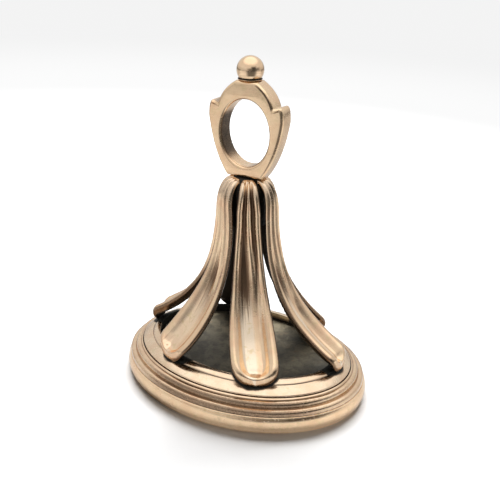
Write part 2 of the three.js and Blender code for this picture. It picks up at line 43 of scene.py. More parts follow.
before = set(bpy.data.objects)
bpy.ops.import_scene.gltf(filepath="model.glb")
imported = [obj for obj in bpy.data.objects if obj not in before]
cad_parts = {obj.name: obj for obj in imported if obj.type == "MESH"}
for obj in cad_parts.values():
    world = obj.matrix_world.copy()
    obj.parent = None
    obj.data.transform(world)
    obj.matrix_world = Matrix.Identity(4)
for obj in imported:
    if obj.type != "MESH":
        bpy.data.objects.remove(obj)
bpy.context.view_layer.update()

MM = 0.001

# Heights that the CAD pieces give
STONE_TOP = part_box("seal_stone")[1].z
BEZEL_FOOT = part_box("bezel")[0].z
BEZEL_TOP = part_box("bezel")[1].z
MOULDING_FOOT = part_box("moulded_ring")[0].z
RING_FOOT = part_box("top_ring")[0].z
RING_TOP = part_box("top_ring")[1].z
POST_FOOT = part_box("neck_post")[0].z
NECK_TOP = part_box("neck_post")[1].z
BOW_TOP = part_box("bow")[1].z
COLLAR_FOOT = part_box("finial_collar")[0].z
COLLAR_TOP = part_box("finial_collar")[1].z
PEG_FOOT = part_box("ball_finial")[0].z
BALL_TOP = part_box("ball_finial")[1].z

# Gaps that the solder and the cement fill
SOLDER_FILM = 0.05 * MM
STONE_FILM = 0.075 * MM

# Points nearer than this are one point, and a fold sharper than this stays a crease
MERGE_DISTANCE = 1e-4 * MM
SHARP_ANGLE = math.radians(38)

# The least width and gap that are divided by
LEAST_WIDTH = 1e-6
LEAST_GAP = 1e-9

# Depth of the relief that the golds' scratches are cut in
BUMP_DEPTH = 0.02 * MM

# Offsets from the reference oval, outwards
STONE_GIRDLE = -0.75 * MM
STONE_FACE = -1.75 * MM
STONE_BACK = -2.0 * MM
STONE_BEVEL = 0.9 * MM
BAND_FOOT_OUT = -1.03 * MM
BAND_TOP_OUT = -2.13 * MM
LIP_FOOT_OUT = -2.2 * MM
BORE_OUT = -3.0 * MM
BAND_FOOT = RING_FOOT + 0.3 * MM
BAND_TOP = BAND_FOOT + 0.55 * MM
SEAT = STONE_TOP + SOLDER_FILM

# The neck post with its socket, the bow's tenon, and the collar and peg of the ball
POST_RADIUS = 2.0 * MM
POST_TIP_RADIUS = 1.2 * MM
POST_DOME = 1.2 * MM
POST_SWELL = 0.13 * MM
SOCKET_RADIUS = 0.65 * MM
SOCKET_DEPTH = 1.2 * MM
TENON_RADIUS = 0.6 * MM
TENON_OVERLAP = 0.3 * MM
COLLAR_RADIUS = 1.2 * MM
COLLAR_EDGE = 0.05 * MM
COLLAR_HOLE = 0.45 * MM
PEG_RADIUS = 0.4 * MM

# The bow's foot and height, and how far the notches beside its arch lie under its top
BOW_FOOT = NECK_TOP + SOLDER_FILM
BOW_HEIGHT = BOW_TOP - BOW_FOOT
NOTCH_DROP = 2.36 * MM

# Where the camera stood, with its right, up and back as unit vectors
CAMERA_PLACE = Vector((33.56, -62.37, 45.78)) * MM
CAMERA_RIGHT = Vector((0.87585, 0.48170, 0.02932))
CAMERA_UP = Vector((-0.21468, 0.33448, 0.91763))
CAMERA_BACK = Vector((0.43221, -0.80999, 0.39636))
CAMERA_ROLL = math.radians(-0.5)
CAMERA_SHIFT = 0.0024

# The lamps are aimed here; each has its name, place, length and width
LAMP_TARGET = Vector((0.0, 0.0, 0.012))
TOP_LAMP = ("top_lamp", (-0.115, 0.24, 0.38), 0.43, 0.21)
LEFT_LAMP = ("left_lamp", (-0.3, -0.06, 0.16), 0.2, 0.2)
RIGHT_LAMP = ("right_lamp", (0.28, -0.02, 0.14), 0.16, 0.2)
FLOOR_HALF = 3.0

# The two petals at the oval's ends are narrower and reach further than the four at its sides
PETAL_FORMS = {
    "end": {
        "toe_along": 0.0,
        "face_turn": 0.0,
        "waist_radius": 3.2 * MM,
        "knee": (3.45 * MM, 0.557),
        "slope": (4.6 * MM, 0.285),
        "neck_width": 1.22 * MM,
        "waist_width": 2.35 * MM,
        "knee_width": 2.75 * MM,
        "spoon_width": 3.6 * MM,
    },
    "side": {
        "toe_along": 5.38 * MM,
        "face_turn": math.radians(10),
        "waist_radius": 2.95 * MM,
        "knee": (2.65 * MM, 0.628),
        "slope": (4.0 * MM, 0.328),
        "neck_width": 1.34 * MM,
        "waist_width": 2.46 * MM,
        "knee_width": 3.15 * MM,
        "spoon_width": 4.95 * MM,
    },
}

# Each petal's CAD node, its form, the angle of its tip, and its mirror signs along X and Y
PETALS = (
    ("petal_right", "end", 0.0, 1, 1),
    ("petal_right_back", "side", math.pi / 3, 1, 1),
    ("petal_left_back", "side", math.pi / 3, -1, 1),
    ("petal_left", "end", 0.0, -1, 1),
    ("petal_left_front", "side", math.pi / 3, -1, -1),
    ("petal_right_front", "side", math.pi / 3, 1, -1),
)

# Two petals have less soot than the others, with this much left high in their channels
CLEANER_PETALS = {"petal_right": 0.15, "petal_left_front": 0.05}

# How much of the soot and painted shade along a petal's edges, where petals meet, is left
EDGE_SOOT_AND_SHADE = {
    "petal_right_front": 1.0,
    "petal_right_back": 1.0,
    "petal_left_back": 1.0,
    "petal_left_front": 0.45,
}


def length(name, description, millimetres):
    """A length property, given in millimetres and kept in metres."""
    return bpy.props.FloatProperty(
        name=name,
        description=description,
        default=millimetres * MM,
        min=0.0,
        unit="LENGTH",
        precision=5,
    )


def share(name, description, value):
    """A property between 0 and 1."""
    return bpy.props.FloatProperty(
        name=name,
        description=description,
        default=value,
        min=0.0,
        max=1.0,
        subtype="FACTOR",
    )


def colour(name, description, value):
    """A colour property, as linear red, green and blue."""
    return bpy.props.FloatVectorProperty(
        name=name,
        description=description,
        default=value,
        size=3,
        min=0.0,
        max=1.0,
        subtype="COLOR",
    )


def brightness(name, description, value):
    """A brightness property, where 1 is white."""
    return bpy.props.FloatProperty(
        name=name,
        description=description,
        default=value,
        min=0.0,
        max=4.0,
    )


def power(name, description, watts):
    """A lamp's power."""
    return bpy.props.FloatProperty(
        name=name,
        description=description,
        default=watts,
        min=0.0,
        unit="POWER",
    )


class SealSettingSizes(bpy.types.PropertyGroup):
    """Sizes of the stone and the oval setting round it."""

    half_length: length("Half length", "Half of the reference oval's long axis", 13.25)
    half_width: length("Half width", "Half of the reference oval's short axis", 10.0)
    bezel_bulge: length("Bezel bulge", "How far the bezel's wall swells outwards", 0.17)
    reed_fullness: share("Reed fullness", "How far each reed's steep face reaches up", 0.86)
    band_bulge: length("Band bulge", "How far the sloping band swells", 0.06)
    lip_bulge: length("Lip bulge", "How far the inner lip swells", 0.09)
    steps: bpy.props.IntProperty(
        name="Steps",
        description="Facets round each moulding",
        default=400,
        min=24,
        max=720,
    )


class SealPetalSizes(bpy.types.PropertyGroup):
    """Sizes that all six petals share."""

    waist_drop: length("Waist drop", "From the top of the neck down to the petals' waist", 3.22)
    spoon_rise: length("Spoon rise", "Height of the spoon's end over the band's foot", 2.75)
    toe_inset: length("Toe inset", "From the band's outer edge in to the toe", 0.55)
    toe_run: length("Toe run", "How far the toe rounds over", 0.75)
    toe_clearance: length("Toe clearance", "Height of the toe's tip over the band's foot", 0.8)
    end_length: length("End length", "Length over which a spoon rounds to its tip", 2.6)
    toe_undercut: share("Toe undercut", "How far the toe leans back for its depth", 0.5)
    trunk_roll: length("Trunk roll", "Width of the rolled edge along the trunk", 0.32)
    spoon_roll: length("Spoon roll", "Width of the rolled edge round the spoon", 0.52)
    edge_depth: length("Edge depth", "Depth of the rolled edge", 0.42)
    flute_depth: length("Flute depth", "Depth of the channels along the trunk", 0.33)
    flute_slope: length("Flute slope", "Width of the slope from a rim to the channel", 0.55)
    bowl_depth: length("Bowl depth", "Depth of the spoon's bowl", 0.8)
    bowl_slope: length("Bowl slope", "Width of the slope from the rim to the bowl's floor", 1.2)
    ridge_height: length("Ridge height", "Height of the ridge up the middle of the trunk", 0.33)
    slope_share: share("Slope share", "Most of the crest that a slope may take up", 0.8)
    ridge_share: share("Ridge share", "How much of the crest the ridge's foot takes up", 0.52)
    ridge_drift: share("Ridge drift", "How far the ridge strays to one side as it fades", 0.32)


class SealBowSizes(bpy.types.PropertyGroup):
    """Sizes of the bow and of the ball on it."""

    thickness: length("Thickness", "Thickness of the bow's plate", 2.05)
    edge: length("Edge", "Radius of the plate's softened edges", 0.34)
    half_width: length("Half width", "Half of the plate's width at the cheeks", 4.15)
    foot_half_width: length("Foot half width", "Half of the plate's width at its foot", 1.98)
    side_wall: length("Side wall", "Width of the plate beside its eye", 1.5)
    foot_wall: length("Foot wall", "Height of the plate under its eye", 1.14)
    top_wall: length("Top wall", "Height of the plate over its eye", 1.76)
    ball_radius: length("Ball radius", "Radius of the ball finial", 1.34)


class SealFinishes(bpy.types.PropertyGroup):
    """Colours and wear of the gold and the stone."""

    gold: colour("Gold", "The rolled gold where it is clean", (0.79, 0.57, 0.38))
    # The tarnish colour also paints shade on the petals' walls, edges and undersides, and on the neck
    tarnish_and_shade: colour("Tarnish", "The brown of thin tarnish", (0.115, 0.062, 0.034))
    # The grime colour also paints shade under the petals, round the toes, on the neck and on the stone
    grime_and_shade: colour("Grime", "The dark of old grooves and joints", (0.014, 0.013, 0.009))
    stone: colour("Stone", "The stone's back", (0.088, 0.077, 0.053))
    stone_vein: colour("Stone vein", "The paler grains in the stone", (0.17, 0.155, 0.125))
    tarnish_amount: share("Tarnish amount", "How much of the hollows is tarnished", 0.75)
    scratch_amount: share("Scratch amount", "How deep the fine scratches are", 0.5)


class SealStageSettings(bpy.types.PropertyGroup):
    """The floor, the lamps and the camera."""

    floor: colour("Floor", "The floor's colour", (0.92, 0.92, 0.92))
    floor_fill: share("Floor fill", "Light that the camera adds to the far floor", 0.62)
    floor_mirrored: share("Floor mirrored", "How bright the metal mirrors the floor", 0.95)
    backdrop: share("Backdrop", "Brightness of the furthest floor", 0.9)
    overhead: brightness("Overhead", "What the metal mirrors from overhead", 1.58)
    surround: brightness("Surround", "What the metal mirrors from the sides", 0.9)
    dim_front: share("Dim front", "How dark the middle of the near side is", 0.9)
    dim_side: share("Dim side", "How dark the rest of the near side is", 0.78)
    lens: bpy.props.FloatProperty(
        name="Lens",
        description="Focal length of the camera",
        default=52.39,
        min=10.0,
        max=200.0,
        unit="CAMERA",
    )
    top_power: power("Top lamp", "Power of the wide lamp overhead", 4.4)
    side_power: power("Side lamps", "Power of each lamp at the sides", 0.05)


def lerp(low, high, part):
    """The value a part of the way from low to high."""
    return low + (high - low) * part


def clamp(value):
    """The value held between 0 and 1."""
    return max(0.0, min(1.0, value))


def smoothstep(value, low, high):
    """0 at low and 1 at high, eased at both; low may be the greater of the two."""
    part = clamp((value - low) / (high - low))
    return part * part * (3 - 2 * part)


def bezier(points, part):
    """The point of a Bezier curve of any degree, by blending its pulls again and again."""
    while len(points) > 1:
        points = [a.lerp(b, part) for a, b in zip(points, points[1:])]
    return points[0]


def bezier_way(points, part):
    """The direction of a Bezier curve."""
    steps = [b - a for a, b in zip(points, points[1:])]
    return bezier(steps, part).normalized()


class Wiring:
    """Adds nodes to a tree and links them, with plain numbers or sockets as their inputs."""

    def __init__(self, tree):
        self.tree = tree

    def node(self, kind, inputs=None, **settings):
        node = self.tree.nodes.new(kind)
        place = len(self.tree.nodes) - 1
        node.location = (220 * (place % 9), -260 * (place // 9))
        for key, value in settings.items():
            setattr(node, key, value)
        self.fill(node, inputs or {})
        return node

    def fill(self, node, inputs):
        for key, value in inputs.items():
            self.feed(self.socket(node.inputs, key), value)

    def socket(self, sockets, key):
        if isinstance(key, int):
            return sockets[key]
        return next(each for each in sockets if each.name == key and each.enabled)

    def feed(self, socket, value):
        if isinstance(value, bpy.types.Node):
            value = next(each for each in value.outputs if each.enabled)
        if isinstance(value, bpy.types.NodeSocket):
            self.tree.links.new(value, socket)
        else:
            socket.default_value = value

    def out(self, node, key=0):
        return self.socket(node.outputs, key)

    def math(self, operation, *values):
        inputs = dict(enumerate(values))
        return self.out(self.node("ShaderNodeMath", inputs, operation=operation))

    def times(self, a, b):
        return self.math("MULTIPLY", a, b)

    def plus(self, a, b):
        return self.math("ADD", a, b)

    def minus(self, a, b):
        return self.math("SUBTRACT", a, b)

    def most(self, a, b):
        return self.math("MAXIMUM", a, b)

    def least(self, a, b):
        return self.math("MINIMUM", a, b)

    def size(self, value):
        """The value without its sign."""
        return self.math("ABSOLUTE", value)

    def times_plus(self, a, b, rest):
        return self.math("MULTIPLY_ADD", a, b, rest)

    def piled(self, rest, *layers):
        """Adds each layer's mask, times its amount, to what is there."""
        for mask, amount in layers:
            rest = self.times_plus(mask, amount, rest)
        return rest

    def split(self, vector):
        node = self.node("ShaderNodeSeparateXYZ", {0: vector})
        return node.outputs[0], node.outputs[1], node.outputs[2]

    def join(self, x, y, z):
        return self.out(self.node("ShaderNodeCombineXYZ", {0: x, 1: y, 2: z}))

    def ramp(self, value, low, high, to_low=0.0, to_high=1.0):
        """Value brought from one range to another, eased and held at its ends."""
        inputs = {0: value, 1: low, 2: high, 3: to_low, 4: to_high}
        node = self.node("ShaderNodeMapRange", inputs, interpolation_type="SMOOTHSTEP")
        return self.out(node)


def new_tree(name, sockets):
    """An empty Geometry Nodes tree with a mesh in and out and the named sockets between."""
    tree = bpy.data.node_groups.new(name, "GeometryNodeTree")
    tree.is_modifier = True
    tree.interface.new_socket("Geometry", in_out="INPUT", socket_type="NodeSocketGeometry")
    tree.interface.new_socket("Geometry", in_out="OUTPUT", socket_type="NodeSocketGeometry")
    for label, kind in sockets:
        tree.interface.new_socket(label, in_out="INPUT", socket_type=kind)
    return tree


def sampled(wires, geometry, name, index, kind="FLOAT_VECTOR"):
    """The named attribute of one point of a mesh, or its place where the name is empty."""
    if name:
        value = wires.node("GeometryNodeInputNamedAttribute", {"Name": name}, data_type=kind)
    else:
        value = wires.node("GeometryNodeInputPosition")
    node = wires.node(
        "GeometryNodeSampleIndex",
        {"Geometry": geometry, "Value": value, "Index": index},
        data_type=kind,
        domain="POINT",
    )
    return wires.out(node, "Value")


def stored(wires, geometry, name, value, kind="FLOAT", domain="POINT"):
    """The mesh with the value kept as a named attribute."""
    node = wires.node(
        "GeometryNodeStoreNamedAttribute",
        {"Geometry": geometry, "Name": name, "Value": value},
        data_type=kind,
        domain=domain,
    )
    return wires.out(node)


def closed_skin(wires, geometry, place, material):
    """Puts a grid's points in place, closes its seams, and gives it its smooth shade and finish."""
    moved = wires.node("GeometryNodeSetPosition", {"Geometry": geometry, "Position": place})
    close = {"Geometry": moved, "Distance": MERGE_DISTANCE}
    merged = wires.node("GeometryNodeMergeByDistance", close)
    smooth = wires.node("GeometryNodeSetShadeSmooth", {"Geometry": merged, "Shade Smooth": True})
    real = wires.node("GeometryNodeRealizeInstances", {"Geometry": smooth})
    finish = wires.node("GeometryNodeSetMaterial", {"Geometry": real, "Material": material})
    wires.node("NodeGroupOutput", {"Geometry": finish})


def moulding_tree():
    """Sweeps a profile of offsets and heights round the oval."""
    tree = new_tree("Oval moulding", (
        ("Half Length", "NodeSocketFloat"),
        ("Half Width", "NodeSocketFloat"),
        ("Steps", "NodeSocketInt"),
        ("Finish", "NodeSocketMaterial"),
    ))
    wires = Wiring(tree)
    given = wires.node("NodeGroupInput")
    profile = wires.out(given, "Geometry")
    half_length = wires.out(given, "Half Length")
    half_width = wires.out(given, "Half Width")
    size = wires.node("GeometryNodeAttributeDomainSize", {"Geometry": profile}, component="MESH")
    count = wires.out(size, "Point Count")
    around = wires.plus(wires.out(given, "Steps"), 1)
    grid = wires.node("GeometryNodeMeshGrid", {"Vertices X": around, "Vertices Y": count})
    turn, step, _ = wires.split(wires.out(grid, "UV Map"))
    index = wires.math("ROUND", wires.times(step, wires.minus(count, 1)))
    offset, _, height = wires.split(sampled(wires, profile, "", index))
    groove = sampled(wires, profile, "groove", index, "FLOAT")
    run = sampled(wires, profile, "run", index, "FLOAT")
    angle = wires.times(turn, 2 * math.pi)
    x = wires.times(wires.plus(half_length, offset), wires.math("COSINE", angle))
    y = wires.times(wires.plus(half_width, offset), wires.math("SINE", angle))
    girth = wires.times(wires.plus(half_length, half_width), math.pi)
    along = wires.times(turn, girth)
    uv = wires.join(along, run, 0.0)
    skin = stored(wires, wires.out(grid, "Mesh"), "groove", groove)
    skin = stored(wires, skin, "UVMap", uv, "FLOAT2", "CORNER")
    closed_skin(wires, skin, wires.join(x, y, height), wires.out(given, "Finish"))
    return tree


def petal_tree():
    """Lofts a petal: the dished section is set at each station down its outer line."""
    tree = new_tree("Dished petal", (
        ("Section", "NodeSocketObject"),
        ("Edge Depth", "NodeSocketFloat"),
        ("Drift Hand", "NodeSocketFloat"),
        ("Edge Soot And Shade", "NodeSocketFloat"),
        ("Channel Soot", "NodeSocketFloat"),
        ("Slope Share", "NodeSocketFloat"),
        ("Ridge Share", "NodeSocketFloat"),
        ("Mirror X", "NodeSocketFloat"),
        ("Mirror Y", "NodeSocketFloat"),
        ("Finish", "NodeSocketMaterial"),
    ))
    wires = Wiring(tree)
    given = wires.node("NodeGroupInput")
    stations = wires.out(given, "Geometry")
    info = wires.node("GeometryNodeObjectInfo", {"Object": wires.out(given, "Section")})
    section = wires.out(info, "Geometry")
    down_size = wires.node("GeometryNodeAttributeDomainSize", {"Geometry": stations})
    round_size = wires.node("GeometryNodeAttributeDomainSize", {"Geometry": section})
    down_count = wires.out(down_size, "Point Count")
    round_count = wires.out(round_size, "Point Count")
    counts = {"Vertices X": down_count, "Vertices Y": round_count}
    grid = wires.node("GeometryNodeMeshGrid", counts)
    down_part, round_part, _ = wires.split(wires.out(grid, "UV Map"))
    last_down = wires.minus(down_count, 1)
    last_round = wires.minus(round_count, 1)
    i = wires.math("ROUND", wires.times(down_part, last_down))
    j = wires.math("ROUND", wires.times(round_part, last_round))

    radius, _, height = wires.split(sampled(wires, stations, "", i))
    way_out, _, way_up = wires.split(sampled(wires, stations, "way", i))
    half, crest, full_slope = wires.split(sampled(wires, stations, "widths", i))
    thickness, dish, ridge = wires.split(sampled(wires, stations, "depths", i))
    turn_place, turn_face, toe = wires.split(sampled(wires, stations, "turns", i))
    run = sampled(wires, stations, "run", i, "FLOAT")
    drift = sampled(wires, stations, "drift", i, "FLOAT")
    of_crest, of_half, under = wires.split(sampled(wires, section, "", j))
    of_edge, of_thickness, channel = wires.split(sampled(wires, section, "depth_parts", j))

    # Where a point lies across the petal, and how deep the bowl and its ridge are there
    across = wires.plus(wires.times(crest, of_crest), wires.times(half, of_half))
    from_middle = wires.size(across)
    from_crest = wires.minus(crest, from_middle)
    narrow = wires.times(crest, wires.out(given, "Slope Share"))
    slope = wires.least(full_slope, narrow)
    bowl = wires.ramp(from_crest, 0.0, wires.most(slope, LEAST_WIDTH))
    foot = wires.most(wires.times(crest, wires.out(given, "Ridge Share")), LEAST_WIDTH)
    strayed = wires.times(wires.times(drift, crest), wires.out(given, "Drift Hand"))
    from_ridge = wires.size(wires.minus(across, strayed))
    middle = wires.ramp(from_ridge, foot, 0.0)
    hollow = wires.minus(wires.times(dish, bowl), wires.times(ridge, middle))
    thick_edge = wires.times(thickness, 0.8)
    edge = wires.least(wires.out(given, "Edge Depth"), thick_edge)
    rolled = wires.times(edge, of_edge)
    walled = wires.times(thickness, of_thickness)
    dished = wires.times(hollow, channel)
    depth = wires.plus(wires.plus(rolled, walled), dished)

    # The section turned to face out of the seal, and mirrored to its quarter
    inward = wires.times(depth, way_out)
    cos_face = wires.math("COSINE", turn_face)
    sin_face = wires.math("SINE", turn_face)
    x = wires.times(radius, wires.math("COSINE", turn_place))
    x = wires.times_plus(inward, cos_face, x)
    x = wires.minus(x, wires.times(across, sin_face))
    y = wires.times(radius, wires.math("SINE", turn_place))
    y = wires.times_plus(inward, sin_face, y)
    y = wires.times_plus(across, cos_face, y)
    z = wires.times_plus(depth, way_up, height)
    x = wires.times(x, wires.out(given, "Mirror X"))
    y = wires.times(y, wires.out(given, "Mirror Y"))

    # What the finish reads: channel, toe, underside, sides and edges for painted shade, and where soot
    # is left
    in_channel = wires.times(channel, wires.minus(bowl, middle))
    skin = stored(wires, wires.out(grid, "Mesh"), "hollow", in_channel)
    skin = stored(wires, skin, "toe", toe)
    skin = stored(wires, skin, "under", under)
    over_rim = wires.size(of_half)
    skin = stored(wires, skin, "side", over_rim)
    skin = stored(wires, skin, "edge", wires.times(over_rim, wires.out(given, "Edge Soot And Shade")))
    left_high = wires.out(given, "Channel Soot")
    left_low = wires.times_plus(left_high, 0.2, 0.8)
    left = wires.ramp(z, 12.0 * MM, 16.5 * MM, left_low, left_high)
    skin = stored(wires, skin, "soot", wires.times(in_channel, left))
    skin = stored(wires, skin, "UVMap", wires.join(across, run, 0.0), "FLOAT2", "CORNER")
    closed_skin(wires, skin, wires.join(x, y, z), wires.out(given, "Finish"))
    return tree


def point_mesh(name, places, attributes):
    """An object of loose points that carry named numbers, for a tree to read."""
    mesh = bpy.data.meshes.new(name)
    mesh.from_pydata([tuple(place) for place in places], [], [])
    for label, values in attributes.items():
        vector = not isinstance(values[0], float)
        layer = mesh.attributes.new(label, "FLOAT_VECTOR" if vector else "FLOAT", "POINT")
        for item, value in zip(layer.data, values):
            if vector:
                item.vector = value
            else:
                item.value = value
    obj = bpy.data.objects.new(name, mesh)
    bpy.context.scene.collection.objects.link(obj)
    return obj


def set_inputs(modifier, values):
    """Sets a tree's inputs on its modifier by the sockets' identifiers."""
    for item in modifier.node_group.interface.items_tree:
        if item.item_type == "SOCKET" and item.in_out == "INPUT" and item.name in values:
            modifier[item.identifier] = values[item.name]


def turn_outwards(mesh):
    """Turns a closed mesh's faces over if they point inwards."""
    shell = bmesh.new()
    shell.from_mesh(mesh)
    if shell.calc_volume(signed=True) < 0:
        bmesh.ops.reverse_faces(shell, faces=shell.faces)
    shell.to_mesh(mesh)
    shell.free()


def baked(obj):
    """Makes what an object's modifiers give its own mesh, with sharp creases kept."""
    depsgraph = bpy.context.evaluated_depsgraph_get()
    mesh = bpy.data.meshes.new_from_object(
        obj.evaluated_get(depsgraph), preserve_all_data_layers=True, depsgraph=depsgraph
    )
    obj.modifiers.clear()
    obj.data = mesh
    turn_outwards(mesh)
    mesh.set_sharp_from_angle(angle=SHARP_ANGLE)
    return obj


def dress(obj, node):
    """Puts a finished piece in its CAD node's stead."""
    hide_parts(node)
    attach(obj, "root")


def swell(start, end, bulge, steps, groove=0.0):
    """Profile points of an arc that swells to the right of its way; its ends may be grooves."""
    way = Vector(end) - Vector(start)
    side = Vector((way.y, -way.x)).normalized()
    points = []
    for i in range(steps + 1):
        part = i / steps
        place = Vector(start) + way * part + side * (4 * part * (1 - part) * bulge)
        points.append((place.x, place.y, groove * abs(2 * part - 1) ** 5))
    return points


def rounded(corner, before, after, radius, steps=4, groove=0.0):
    """Profile points of a softened corner between the points before and after it."""
    corner = Vector(corner)
    start = corner + (Vector(before) - corner).normalized() * radius
    end = corner + (Vector(after) - corner).normalized() * radius
    places = [bezier([start, corner, end], i / steps) for i in range(steps + 1)]
    return [(place.x, place.y, groove) for place in places]


def reed(start, end, fullness, steps):
    """Profile points of a reed: a steep face at its foot that rounds over to its top."""
    start = Vector(start)
    end = Vector(end)
    low = Vector((lerp(start.x, end.x, 0.05), lerp(start.y, end.y, 0.9 * fullness)))
    high = Vector((lerp(end.x, start.x, fullness), end.y))
    places = [bezier([start, low, high, end], i / steps) for i in range(steps + 1)]
    # The reed's end grooves take tarnish; its steep face takes brown that is partly tarnish, partly
    # painted shade
    depths = []
    for i in range(steps + 1):
        ends = abs(2 * i / steps - 1) ** 8
        face = 0.54 * smoothstep(i / steps, 0.92, 0.62)
        depths.append(max(0.6 * ends, face))
    return [(place.x, place.y, depth) for place, depth in zip(places, depths)]


def stone_edge(height):
    """How far out the stone's tapered back edge stands at a height."""
    part = clamp((height - BEZEL_TOP) / (STONE_TOP - BEZEL_TOP))
    return lerp(STONE_GIRDLE, STONE_BACK, part)


def sweep_oval(name, profile, material):
    """A closed moulding, swept round the oval by the moulding tree."""
    sizes = bpy.context.scene.seal_setting
    tree = bpy.data.node_groups.get("Oval moulding") or moulding_tree()
    loop = profile + profile[:1]
    runs = [0.0]
    for a, b in zip(loop, loop[1:]):
        runs.append(runs[-1] + math.dist(a[:2], b[:2]))
    places = [(offset, 0.0, height) for offset, height, _ in loop]
    grooves = [float(groove) for _, _, groove in loop]
    obj = point_mesh(name, places, {"groove": grooves, "run": runs})
    modifier = obj.modifiers.new("Oval moulding", "NODES")
    modifier.node_group = tree
    set_inputs(modifier, {
        "Half Length": sizes.half_length,
        "Half Width": sizes.half_width,
        "Steps": sizes.steps,
        "Finish": material,
    })
    return baked(obj)


def bezel_profile():
    """The plain rounded band with its seat for the stone, from its foot round to its inside."""
    bulge = bpy.context.scene.seal_setting.bezel_bulge
    seat = STONE_GIRDLE + SOLDER_FILM
    foot_out = 0.6 * MM
    top_out = 0.53 * MM
    under = (foot_out, BEZEL_FOOT)
    wall_foot = (foot_out, BEZEL_FOOT + 0.18 * MM)
    wall_top = (top_out, BEZEL_TOP - 0.1 * MM)
    profile = rounded(under, (0.0, BEZEL_FOOT), wall_foot, 0.18 * MM, 6, 0.35)
    profile += swell(wall_foot, wall_top, bulge, 22)[1:]
    profile += rounded((top_out, BEZEL_TOP), wall_top, (0.0, BEZEL_TOP), 0.1 * MM, 5)[1:]
    profile += [
        (top_out - 0.16 * MM, BEZEL_TOP, 1.0),
        (seat, BEZEL_TOP, 1.0),
        (seat, STONE_BEVEL, 1.0),
        (-1.3 * MM, BEZEL_FOOT + 0.2 * MM, 0.8),
        (-1.35 * MM, BEZEL_FOOT + 0.1 * MM, 0.5),
        (-1.28 * MM, BEZEL_FOOT + 0.04 * MM, 0.2),
    ]
    return profile


def moulding_profile():
    """The two reeds and the ledge over them, from the foot up."""
    fullness = bpy.context.scene.seal_setting.reed_fullness
    foot = (0.45 * MM, MOULDING_FOOT)
    middle = (-0.11 * MM, MOULDING_FOOT + 0.56 * MM)
    middle_in = (middle[0] - 0.06 * MM, middle[1])
    fillet = (-0.69 * MM, middle[1] + 0.6 * MM)
    fillet_in = (fillet[0] - 0.06 * MM, fillet[1])
    rabbet = RING_FOOT - SOLDER_FILM
    ledge = (-0.93 * MM, rabbet + 0.17 * MM)
    profile = reed(foot, middle, fullness, 20)
    profile += [(middle_in[0] + 0.02 * MM, middle_in[1] - 0.02 * MM, 0.7)]
    profile += reed(middle_in, fillet, fullness, 20)
    profile += [(fillet_in[0], fillet_in[1] - 0.02 * MM, 0.7)]
    profile += swell(fillet_in, ledge, 0.035 * MM, 6, 0.5)
    profile += [
        (ledge[0] - 0.02 * MM, ledge[1] - 0.02 * MM, 0.75),
        (ledge[0] - 0.02 * MM, rabbet, 1.0),
        (stone_edge(rabbet) + STONE_FILM, rabbet, 1.0),
        (stone_edge(MOULDING_FOOT) + STONE_FILM, MOULDING_FOOT, 1.0),
    ]
    return profile


def ring_surface():
    """The upper line of the top ring, as offsets and heights from its foot in to its bore."""
    sizes = bpy.context.scene.seal_setting
    band = swell((BAND_FOOT_OUT, BAND_FOOT), (BAND_TOP_OUT, BAND_TOP), sizes.band_bulge, 16)
    lip_foot = (LIP_FOOT_OUT, BAND_TOP + 0.07 * MM)
    lip = swell(lip_foot, (BORE_OUT, RING_TOP), sizes.lip_bulge, 12)
    return band, lip


def ring_profile():
    """The sloping band, the bead of dirt at its top, the inner lip and the bore."""
    band, lip = ring_surface()
    out = BAND_FOOT_OUT
    profile = [(out - 0.03 * MM, RING_FOOT, 0.8), (out, RING_FOOT + 0.05 * MM, 0.55)]
    profile += rounded((out, BAND_FOOT), (out, RING_FOOT), band[1][:2], 0.09 * MM, 5)
    profile += band[2:-1]
    profile += [
        (BAND_TOP_OUT, BAND_TOP, 0.45),
        (BAND_TOP_OUT - 0.035 * MM, BAND_TOP - 0.015 * MM, 0.72),
        (LIP_FOOT_OUT, BAND_TOP + 0.05 * MM, 0.45),
    ]
    profile += lip[1:-1]
    profile += rounded((BORE_OUT, RING_TOP), lip[-2][:2], (BORE_OUT, SEAT), 0.08 * MM, 5)
    profile += [
        (BORE_OUT, SEAT + 0.2 * MM, 0.7),
        (BORE_OUT, SEAT, 1.0),
        (stone_edge(STONE_TOP) + STONE_FILM, SEAT, 1.0),
        (stone_edge(RING_FOOT) + STONE_FILM, RING_FOOT, 1.0),
    ]
    return profile


def oval_offset(x, y, half_length, half_width):
    """How far outside the reference oval a point lies, by halving the range of offsets."""
    low = -0.98 * half_width
    high = 2 * MM
    for _ in range(26):
        middle = (low + high) / 2
        reach = (x / (half_length + middle)) ** 2 + (y / (half_width + middle)) ** 2
        if reach > 1:
            low = middle
        else:
            high = middle
    return (low + high) / 2


def height_on_ring(offset, line):
    """The top ring's height at an offset, or nothing past its edges."""
    for (out_a, height_a, _), (out_b, height_b, _) in zip(line, line[1:]):
        if out_b <= offset <= out_a:
            part = (out_a - offset) / max(out_a - out_b, LEAST_GAP)
            return lerp(height_a, height_b, part)
    return None


def post_radius(height):
    """The neck post's radius at a height."""
    dome = NECK_TOP - POST_DOME
    if height <= dome:
        return POST_RADIUS
    part = clamp((height - dome) / (NECK_TOP - dome))
    swelling = 4 * part * (1 - part) * POST_SWELL
    return lerp(POST_RADIUS, POST_TIP_RADIUS, part) + swelling


def seat_petal(mesh):
    """Sets a petal's underside on the top ring and round the neck post, with their solder films."""
    sizes = bpy.context.scene.seal_setting
    band, lip = ring_surface()
    line = band + lip
    for vertex in mesh.vertices:
        x, y, z = vertex.co
        if z < RING_TOP + 0.2 * MM:
            offset = oval_offset(x, y, sizes.half_length, sizes.half_width)
            ring = height_on_ring(offset, line)
            if ring is not None and z < ring + SOLDER_FILM:
                vertex.co.z = ring + SOLDER_FILM
        if z > POST_FOOT:
            radius = math.hypot(x, y)
            least = post_radius(z) + SOLDER_FILM
            if 0 < radius < least:
                vertex.co.x = x * least / radius
                vertex.co.y = y * least / radius
    mesh.update()


